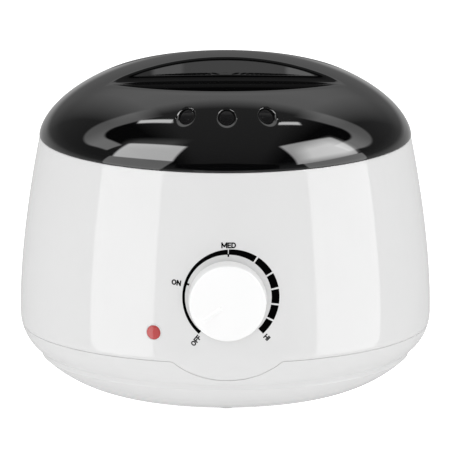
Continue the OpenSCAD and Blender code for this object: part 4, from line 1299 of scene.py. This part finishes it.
@dataclass
class Dial:
    """The knob, the print round it and the pilot lamp's lens."""

    outline: Outline = Outline()
    back: float = -89.6
    face: float = -98.7
    radius: float = 17.0
    draft: float = 0.5
    edge: float = 1.4
    pointer: float = math.radians(-127.0)
    ridge_half: float = 0.95
    ridge_ends: Point = (3.0, 13.4)
    ridge_h: float = 0.38
    skirt: float = 2.2
    face_t: float = 1.2
    hub_r: float = 5.2
    bore_r: float = 3.05
    hub_back: float = 0.4
    bore_face: float = 1.6
    print_x: float = 0.4
    print_z: float = 0.3
    print_in: float = 18.7
    print_out: float = 20.95
    print_shift: float = 1.1
    ink: float = 0.06
    ink_root: float = 0.15
    bands: Tuple[Point, ...] = ((-141.0, -0.55), (0.55, 34.9), (37.1, 59.9), (62.1, 78.9), (81.1, 97.9),
                                (100.1, 116.9), (119.1, 136.5))
    ticks: Tuple[Point, ...] = ((-139.8, 2.4), (-72.0, 2.8), (0.0, 2.2))
    labels: Tuple[Tuple[str, float, float, float, float], ...] = (
        ("MED", 0.55, 79.4, 2.45, 0.0), ("ON", -22.0, 62.9, 2.4, -8.0),
        ("OFF", -13.6, 38.0, 2.25, 52.0), ("HI", 17.0, 39.2, 2.3, -46.0))
    letter_gap: float = 0.26
    letter_weight: float = 0.225
    lens_r: float = 3.1
    lens_proud: float = 0.7
    lens_deep: float = 8.0
    nub: float = 0.18
    nub_r: float = 0.45
    tick_ends: Point = (-0.95, 0.25)
    ridge_flank: float = 0.35
    ridge_slope: float = 0.5
    columns: int = 288
    rows: int = 56

    def build(self) -> List[Piece]:
        """The knob, the lamp's lens and its collar, and the print, dressed.

        Returns:
            The pieces.
        """
        made = [settle(self.knob(), "dial", "knob_white", "knob"),
                settle(self.lens(), "warmer", "lens_red", "pilot_lens"),
                settle(self.collar(), "warmer", "white_shell")]
        ink = [*self.print_ring(), *(self.word(*label) for label in self.labels)]
        return made + [settle(piece, "warmer", "print_black", slot="gland_black") for piece in ink]

    def knob(self) -> Piece:
        """The knob: a drafted disc with a rounded edge, a raised pointer ridge on its face and a hollow back.

        The face is a grid in radius and angle. Its height is that of the face plus the ridge: a plateau in
        the distance across the pointer and along it, with soft flanks, p * p * (3 - 2 * p).

        Returns:
            The piece.
        """
        depth = self.back - self.face
        a = 2 * math.pi * np.arange(self.columns) / self.columns
        face_r, skirt_in = self.radius - self.draft - self.edge, self.radius - self.skirt
        r = np.linspace(0.05, face_r, self.rows)[:, None]
        x, y = r * np.cos(a), r * np.sin(a)
        start, stop = self.ridge_ends
        ridge = (np.clip((self.ridge_half - np.abs(x)) / self.ridge_flank, 0, 1)
                 * np.clip((y - start) / self.ridge_slope, 0, 1)
                 * np.clip((stop - y) / self.ridge_slope, 0, 1))
        ridge = ridge * ridge * (3 - 2 * ridge)
        front = np.stack([x, y, depth + self.ridge_h * ridge], -1)
        hollow, bore = depth - self.face_t, depth - self.bore_face
        side = rounded([(face_r, depth), (self.radius - self.draft, depth), (self.radius, 0.0),
                        (skirt_in, 0.0), (skirt_in, hollow), (self.hub_r, hollow),
                        (self.hub_r, self.hub_back), (self.bore_r, self.hub_back), (self.bore_r, bore),
                        (0.05, bore)],
                       [0, self.edge, 0.4, 0.4, 0.6, 0.6, 0.3, 0.2, 0.2, 0], steps=8)[1:]
        grid = np.concatenate([front, around(dense(side, 2.0), self.columns)])
        grid = capped(grid, (0, 0, depth), (0, 0, bore))
        up = (math.sin(self.pointer), 0, math.cos(self.pointer))
        grid = along(grid, (0, self.back, self.outline.knob_z), (0, -1, 0), up)
        return crease(lathe("dial_knob", grid), 50.0)

    def on_wall(self, x: Array, z: Array, proud: float) -> Array:
        """Points of the wall at x and z, seen from the front: y = -sqrt(radius(z) ** 2 - x ** 2) - proud."""
        y = -np.sqrt(self.outline.radius(z) ** 2 - x ** 2) - proud
        return np.stack([x, y, z], -1)

    def band(self, name: str, start: float, stop: float, inner: float, outer: float,
             shift: float = 0.0) -> Piece:
        """A thin raised band of ink between two circles.

        The inner one is about the knob's axis, and the outer one's centre lies a shift s to the right of it:
        at angle t its radius is s sin t + sqrt(R ** 2 - (s cos t) ** 2).

        Args:
            name: the piece's name.
            start: its first angle in degrees clockwise from the top.
            stop: its last angle.
            inner: the inner circle's radius.
            outer: the outer circle's radius R.
            shift: how far the outer circle's centre lies to the right.
        Returns:
            The piece, a closed plate that follows the wall.
        """
        t = np.radians(np.linspace(start, stop, max(6, int(abs(stop - start) / 1.5))))
        far = shift * np.sin(t) + np.sqrt(outer ** 2 - (shift * np.cos(t)) ** 2)
        r = inner + (far - inner) * np.linspace(0, 1, 5)[:, None]
        x, z = self.print_x, self.outline.knob_z + self.print_z
        return self.plate(name, x + r * np.sin(t), z + r * np.cos(t))

    def plate(self, name: str, x: Array, z: Array) -> Piece:
        """Closes a grid of x and z on the wall into a thin plate of ink.

        Args:
            name: the piece's name.
            x: distances from the middle, shaped (rows, columns).
            z: heights, shaped alike.
        Returns:
            The piece, whose back is sunk into the wall.
        """
        rows, columns = x.shape
        sides = [self.on_wall(x, z, proud).reshape(-1, 3) for proud in (self.ink, -self.ink_root)]
        flat = grid_quads(rows, columns, False, False)
        n = rows * columns
        i = np.arange(n).reshape(rows, columns)
        rim = np.concatenate([i[0, :-1], i[:-1, -1], i[-1, :0:-1], i[:0:-1, 0]])
        on = np.roll(rim, -1)
        walls = np.stack([rim, on, on + n, rim + n], -1)
        quads = np.concatenate([flat, flat[:, ::-1] + n, walls[:, ::-1]])
        return crease(add_mesh(name, np.concatenate(sides), quads), 30.0)

    def print_ring(self) -> List[Piece]:
        """The dial's crescent in its segments, with the small ticks that point at the knob.

        Returns:
            The pieces.
        """
        made = [self.band(f"dial_band_{i}", start, stop, self.print_in, self.print_out, self.print_shift)
                for i, (start, stop) in enumerate(self.bands)]
        low, high = (self.print_in + end for end in self.tick_ends)
        return made + [self.band(f"dial_tick_{i}", at - wide / 2, at + wide / 2, low, high)
                       for i, (at, wide) in enumerate(self.ticks)]

    def word(self, text: str, x: float, z: float, size: float, turn: float) -> Piece:
        """A word printed on the wall in letters of even strokes.

        Each stroke is a ribbon of points centre + side * n, n its normal, side from -half to half its weight.
        A point's flat place (u, v) is turned, moved to x and z and put on the wall.

        Args:
            text: the word.
            x: its middle from the axis.
            z: its middle's height.
            size: height of its capitals.
            turn: its slant in degrees, anticlockwise.
        Returns:
            The piece.
        """
        c, s = math.cos(math.radians(turn)), math.sin(math.radians(turn))
        gap, weight = self.letter_gap * size, self.letter_weight * size
        side = np.linspace(-weight / 2, weight / 2, 3)[:, None, None]
        widths = [LETTERS[letter][0] * size for letter in text]
        at = -(sum(widths) + gap * (len(text) - 1)) / 2
        made = []
        for letter, width in zip(text, widths):
            for stroke in LETTERS[letter][1]:
                line = dense(np.array(stroke) * [width, size - weight] + [at, (weight - size) / 2], 0.3)
                way = np.gradient(line, axis=0)
                way /= np.linalg.norm(way, axis=1)[:, None]
                normal = np.stack([-way[:, 1], way[:, 0]], -1)
                line[0] -= way[0] * weight / 2
                line[-1] += way[-1] * weight / 2
                flat = line[None] + side * normal[None]
                u, v = flat[..., 0], flat[..., 1]
                made.append(self.plate("word_" + text.lower(), x + (u * c - v * s), z + (u * s + v * c)))
            at += width + gap
        return crease(joined(made), 30.0)

    def lens(self) -> Piece:
        """The pilot lamp's lens: a button with a lower rim, a shallow dome and a small nub in its middle.

        The dome's height falls with the square of the radius, and the nub adds nub * exp(-(r / nub_r) ** 2).

        Returns:
            The piece.
        """
        rim, out = self.lens_r, self.outline.at(self.outline.lamp_z) + self.lens_proud
        root = out - self.lens_deep
        edge = rounded([(rim, root), (rim, out - 0.45), (rim - 0.55, out - 0.4), (rim - 0.65, out - 0.12)],
                       [0, 0.25, 0.1, 0])
        r = np.linspace(rim - 0.85, 0.02, 28)
        dome = np.stack([r, out - 0.02 * r ** 2 + self.nub * np.exp(-(r / self.nub_r) ** 2)], -1)
        profile = np.concatenate([[(0, root)], edge, dome, [(0, out + self.nub)]])
        grid = outwards(profile, self.outline.lamp_angle, self.outline.lamp_z, 72)
        return crease(lathe("pilot_button", grid), 50.0)

    def collar(self) -> Piece:
        """The thin pale collar round the lens: a ring with a half-round section on the wall.

        Returns:
            The piece.
        """
        out = self.outline.at(self.outline.lamp_z)
        arch = ellipse(self.lens_r + 0.34, out, 0.3, 0.16, np.linspace(0, math.pi, 9))
        profile = np.concatenate([[(self.lens_r + 0.64, out - 1.0)], arch, [(self.lens_r + 0.04, out - 1.0)]])
        grid = outwards(profile, self.outline.lamp_angle, self.outline.lamp_z, 72)
        return lathe("pilot_collar", grid, ring=True)


@dataclass
class Pot:
    """The lift-out pot and its wire bail."""

    radius: float = 61.3
    draft: float = 1.6
    wall: float = 1.2
    flange: float = 9.7
    top: float = 107.3
    floor: float = 43.0
    corner: float = 7.0
    bail_z: float = 110.3
    bail_r: float = 1.5
    bail_reach: float = 56.0
    bail_span: float = 71.5
    pin: float = 64.6

    def build(self) -> List[Piece]:
        """The pot and its bail, dressed."""
        return [settle(self.vessel(), "pot", "aluminium", "wax_pot"),
                settle(self.bail(), "bail", "bail_steel", "bail")]

    def vessel(self) -> Piece:
        """The pot: one spun sheet, its section carried round the axis, with a rolled edge to its flange.

        Returns:
            The piece.
        """
        low, bead = self.radius - self.draft, self.wall / 2
        lip, floor_top = self.radius + self.flange - bead, self.floor + self.wall
        outer = rounded([(0.05, self.floor), (low, self.floor), (self.radius, self.top - self.wall),
                         (lip, self.top - self.wall)], [0, self.corner, 0.8, 0], 12)
        roll = ellipse(lip, self.top - bead, bead, bead, np.linspace(-math.pi / 2, math.pi / 2, 9)[1:-1])
        inner = rounded([(lip, self.top), (self.radius - self.wall, self.top), (low - self.wall, floor_top),
                         (0.05, floor_top)], [0, 0.8, self.corner - self.wall, 0], 12)
        profile = dense(np.concatenate([outer, roll, inner]), 3.0)
        profile = np.concatenate([[(0, self.floor)], profile, [(0, floor_top)]])
        return crease(lathe("wax_vessel", around(profile, 256)), 45.0)

    def bail(self) -> Piece:
        """The bail: a round wire carried along its arc, its ends bent in to the pins and closed.

        The path is the arc through both corners and the point of its reach, then a small bend and the pin.

        Returns:
            The piece.
        """
        r = (self.bail_span ** 2 + self.bail_reach ** 2) / (2 * self.bail_reach)
        y = self.bail_reach - r
        a = math.asin(-y / r) + 0.03
        bow = ellipse(0.0, y, r, r, np.linspace(a, math.pi - a, 150))
        pin = np.array([(self.pin, 0.0), (self.pin + 2, 0.0), (self.bail_span - 2.0, 0.0),
                        (self.bail_span + 0.35, 0.15)])
        path = np.concatenate([pin, bow, pin[::-1] * [-1, 1]])
        path = np.concatenate([path, np.full((len(path), 1), self.bail_z)], -1)
        way = np.gradient(path, axis=0)
        way /= np.linalg.norm(way, axis=1)[:, None]
        side = np.stack([-way[:, 1], way[:, 0], 0 * way[:, 0]], -1)
        b = (2 * math.pi * np.arange(20) / 20)[None, :, None]
        tube = path[:, None] + self.bail_r * (np.cos(b) * side[:, None] + np.sin(b) * np.array([0, 0, 1.0]))
        return crease(lathe("wire_bail", capped(tube, path[0], path[-1])), 50.0)


def smoothed_copy(solid: Piece) -> Piece:
    """A copy of a solid's mesh with its loose triangles merged, shaded smooth between sharp edges.

    Args:
        solid: the object of a node.
    Returns:
        The copy.
    """
    mesh = solid.data.copy()
    work = bmesh.new()
    work.from_mesh(mesh)
    bmesh.ops.remove_doubles(work, verts=work.verts, dist=1e-6)
    work.to_mesh(mesh)
    work.free()
    mesh.name = solid.name + "_shape"
    return crease(linked(mesh.name, mesh), 32.0)


def direction(azimuth: float, elevation: float) -> Array:
    """The unit vector at an azimuth from the front, positive to the right, and an elevation, in degrees."""
    a, e = math.radians(azimuth), math.radians(elevation)
    return np.array([math.sin(a) * math.cos(e), -math.cos(a) * math.cos(e), math.sin(e)])


def aimed(name: str, data: bpy.types.ID, way: Array, distance: float, target: Sequence[float]) -> Piece:
    """A camera or lamp that looks at a target.

    Args:
        name: its name.
        data: the camera or lamp.
        way: the direction in which it stands, seen from the target.
        distance: how far off it stands.
        target: the point that it looks at.
    Returns:
        The object.
    """
    made = linked(name, data)
    made.location = Vector(target) + distance * Vector(way)
    made.rotation_euler = (Vector(target) - made.location).to_track_quat("-Z", "Y").to_euler()
    return made


@dataclass(frozen=True)
class Card:
    """A bright or dark card of the studio, given by its corners' azimuths and elevations."""

    level: float
    corners: Stops
    soft: float = 0.015

    def mask(self, tree: Tree, way: Socket) -> Socket:
        """1 within the card and 0 outside: the product over its edges of a step in way . (a x b).

        Args:
            tree: the tree that the nodes go into.
            way: the direction's socket.
        Returns:
            The mask's socket.
        """
        points = [direction(*c) for c in self.corners]
        middle = sum(points)
        steps = []
        for a, b in zip(points, points[1:] + points[:1]):
            normal = np.cross(a, b)
            normal *= math.copysign(1, float(normal @ middle)) / np.linalg.norm(normal)
            dot = vectors(tree, "DOT_PRODUCT", way, tuple(normal))["Value"]
            steps.append(mapped(tree, dot, 0.0, 1.0, -self.soft, self.soft))
        return maths(tree, "MULTIPLY", *steps)


@dataclass
class Studio:
    """The floor, the lamps, the surroundings and the camera.

    Each lamp has a name, an azimuth, an elevation, a size and a level. The stops are those of the tent that
    gloss sees: what they are looked up by is told in gloss.
    """

    distance: float = 9.0
    lens: float = 1650.0
    azimuth: float = -0.6
    elevation: float = 12.0
    aim: Tuple[float, float, float] = (0.0003, 0.0, 0.0707)
    lamps: Tuple[Tuple[str, float, float, float, float], ...] = (
        ("soft_left", -64.0, 34.0, 0.95, 1.3), ("soft_right", 64.0, 34.0, 0.95, 1.3),
        ("soft_back", 180.0, 50.0, 0.95, 0.7), ("soft_front", -4.0, 14.0, 0.5, 1.2))
    lamp_aim: Tuple[float, float, float] = (0.0, 0.0, 0.08)
    lamp_distance: float = 1.2
    floor_half: float = 6.0
    floor_tone: float = 0.85
    floor_glow: Point = (0.3, 0.82)
    fill: float = 0.64
    foot: Stops = ((-1.0, 0.75), (-0.15, 0.6), (0.02, 0.5), (0.12, 0.2), (0.3, 0.13), (0.6, 0.13), (1.0, 0.2))
    behind: Stops = ((1.99, 0.0), (2.13, 0.9), (2.35, 0.75), (2.55, 0.5), (2.75, 0.22), (3.0, 0.05))
    behind_wide: Stops = ((0.33, 1.0), (0.57, 0.0))
    tent_x: float = 0.02
    box: Point = (0.56, 0.18)
    frame: Stops = ((0.165, 0.0), (0.185, 1.0), (0.305, 1.0), (0.325, 0.0))
    frame_deep: Stops = ((-0.02, 0.0), (0.0, 2.2), (0.2, 2.0), (0.38, 1.0), (0.5, 0.7))
    frame_wide: Stops = ((0.3, 0.0), (0.42, 1.0))
    frame_high: Point = (0.3, 0.42)
    inside: Stops = ((0.165, 1.0), (0.185, 0.0))
    inside_wide: Stops = ((0.3, 0.0), (0.5, 1.0))
    inside_high: Point = (0.3, 0.5)
    shade: Card = Card(0.0, ((-34, 35), (0, 35), (35, 34), (33, 9), (0, 4), (-32, 13)), 0.012)
    cards: Tuple[Card, ...] = (
        Card(7.4, ((-88, 49), (-44, 65), (-37, 34), (-79, 24))),
        Card(5.0, ((56, 61), (102, 49), (93, 18), (46, 19))),
        Card(5.0, ((64, 52), (98, 48), (92, 22), (54, 28)), 0.09),
        Card(2.0, ((-81, 23.3), (-36.5, 33.6), (-44, -30), (-83, -30)), 0.01),
        Card(2.0, ((50, 20), (96, 17), (98, -30), (54, -30)), 0.01),
        Card(7.0, ((-126, 57), (-129, 69), (-138, 68), (-131, 57)), 0.01),
        Card(7.0, ((121, 62), (123, 70), (131, 70), (127, 62)), 0.01),
        Card(0.7, ((-93, 52), (-60, 71), (-52, 59), (-86, 43)), 0.06),
        Card(0.5, ((-13.5, 0.5), (10.5, 0.5), (10.5, -5), (-13.5, -5)), 0.01),
        Card(1.1, ((10.5, 0.5), (17.5, 0.5), (17.5, -5), (10.5, -5)), 0.01),
        Card(1.6, ((-20, 0.5), (-13.5, 0.5), (-13.5, -5), (-20, -5)), 0.01),
    )

    def camera(self) -> None:
        """Puts the camera at the photograph's angle."""
        data = bpy.data.cameras.new("camera")
        data.lens = self.lens
        data.sensor_width = 36.0
        data.clip_end = 40.0
        way = direction(self.azimuth, self.elevation)
        bpy.context.scene.camera = aimed("camera", data, way, self.distance, self.aim)

    def light(self) -> None:
        """Sets up the lamps, which light matt surfaces alone.

        They are two soft boxes at the sides in front, a weaker one behind and a small one beside the camera.
        """
        for name, azimuth, elevation, size, level in self.lamps:
            data = bpy.data.lights.new(name, "AREA")
            data.shape = "SQUARE"
            data.size = size
            data.energy = level * math.pi * size * size
            made = aimed(name, data, direction(azimuth, elevation), self.lamp_distance, self.lamp_aim)
            made.visible_camera = False
            made.visible_glossy = False

    def gloss(self, tree: Tree) -> Socket:
        """What gloss sees, from its direction (x, y, z): a white tent with cards.

        The tent is grey at its foot by z, dark above and at the sides, and bright high up behind, by the
        angle from the front in the YZ plane. A pale frame lies overhead: the band within a width of the
        outline of a box with round corners, by the distance hypot of what lies past the box in x and y. It
        fades by y, by z and by the distance from the tent's middle in x, called wide. The dark inside it
        fades by the last two.

        Args:
            tree: the world's tree.
        Returns:
            The grey's socket.
        """
        way = node(tree, "ShaderNodeTexCoord").outputs["Generated"]
        x, y, z = node(tree, "ShaderNodeSeparateXYZ", None, {0: way}).outputs
        wide = maths(tree, "ABSOLUTE", maths(tree, "SUBTRACT", x, self.tent_x))
        angle = maths(tree, "ARCTAN2", z, maths(tree, "MULTIPLY", y, -1.0))
        foot = curve(tree, z, -1.0, 1.0, self.foot)
        behind = maths(tree, "MULTIPLY", curve(tree, angle, -math.pi, math.pi, self.behind),
                       curve(tree, wide, 0.0, 1.0, self.behind_wide))
        past_x, past_y = (maths(tree, "MAXIMUM", maths(tree, "SUBTRACT", value, half), 0.0)
                          for value, half in zip((wide, y), self.box))
        off = maths(tree, "SQRT", maths(tree, "ADD", maths(tree, "MULTIPLY", past_x, past_x),
                                        maths(tree, "MULTIPLY", past_y, past_y)))
        band = maths(tree, "MULTIPLY", curve(tree, off, 0.0, 0.5, self.frame),
                     curve(tree, y, -0.2, 0.6, self.frame_deep), curve(tree, wide, 0.0, 1.0, self.frame_wide),
                     mapped(tree, z, 0.0, 1.0, *self.frame_high))
        dark = maths(tree, "MULTIPLY", curve(tree, off, 0.0, 0.5, self.inside),
                     curve(tree, wide, 0.0, 1.0, self.inside_wide),
                     mapped(tree, z, 0.0, 1.0, *self.inside_high))
        total = maths(tree, "MULTIPLY", foot, maths(tree, "SUBTRACT", 1.0, dark))
        total = maths(tree, "ADD", total, behind, band)
        total = maths(tree, "MULTIPLY", total, maths(tree, "SUBTRACT", 1.0, self.shade.mask(tree, way)))
        cards = [maths(tree, "MULTIPLY", card.mask(tree, way), card.level) for card in self.cards]
        return maths(tree, "ADD", total, *cards)

    def world(self) -> None:
        """White to the camera, a plain fill for matt surfaces, and the tent with its cards for gloss."""
        made = bpy.data.worlds.new("studio")
        bpy.context.scene.world = made
        made.use_nodes = True
        tree = made.node_tree
        path = node(tree, "ShaderNodeLightPath").outputs
        fill = mixed(tree, path["Is Glossy Ray"], (self.fill,) * 3 + (1,), self.gloss(tree))
        seen = maths(tree, "MAXIMUM", path["Is Camera Ray"], path["Is Transmission Ray"])
        tree.links.new(mixed(tree, seen, fill, WHITE), tree.nodes["Background"].inputs["Color"])

    def floor(self) -> None:
        """A wide pale floor that the camera sees as white, with the object's shadow on it."""
        edge = self.floor_half
        corners = [(-edge, -edge, 0), (edge, -edge, 0), (edge, edge, 0), (-edge, edge, 0)]
        mesh = bpy.data.meshes.new("floor")
        mesh.from_pydata(corners, [], [(0, 1, 2, 3)])
        made = linked("floor", mesh)
        finish = bpy.data.materials.new("floor")
        finish.use_nodes = True
        tree = finish.node_tree
        shader = tree.nodes["Principled BSDF"].inputs
        shader["Base Color"].default_value = (self.floor_tone,) * 3 + (1,)
        shader["Roughness"].default_value = 0.9
        shader["Specular IOR Level"].default_value = 0.0
        shader["Emission Color"].default_value = WHITE
        seen = node(tree, "ShaderNodeLightPath").outputs["Is Camera Ray"]
        tree.links.new(mapped(tree, seen, *self.floor_glow), shader["Emission Strength"])
        mesh.materials.append(finish)
        made.visible_glossy = False


SMOOTHED: Dict[str, str] = {"heating_chamber": "warmer", "cord_gland": "warmer", "rubber_feet": "warmer",
                            "pot_ears": "pot", "ear_rivets": "pot"}


def main() -> None:
    logging.basicConfig(level=logging.INFO, format="%(message)s")
    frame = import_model()
    bpy.context.scene.view_settings.view_transform = "Standard"
    slots = {part["node"]: part["material_slot"] for part in frame["record"]["subparts"]}
    for name, solid in frame["nodes"].items():
        FINISHES[slots[name]].dress(solid)

    made = [piece for part in (Tub(), Lid(), Dial(), Pot()) for piece in part.build()]
    made += [settle(smoothed_copy(frame["nodes"][name]), body, slots[name], name)
             for name, body in SMOOTHED.items()]
    for piece in made:
        LOG.info("%s: %d faces", piece.name, len(piece.data.polygons))

    studio = Studio()
    studio.camera()
    studio.light()
    studio.world()
    studio.floor()


if __name__ == "__main__":
    main()
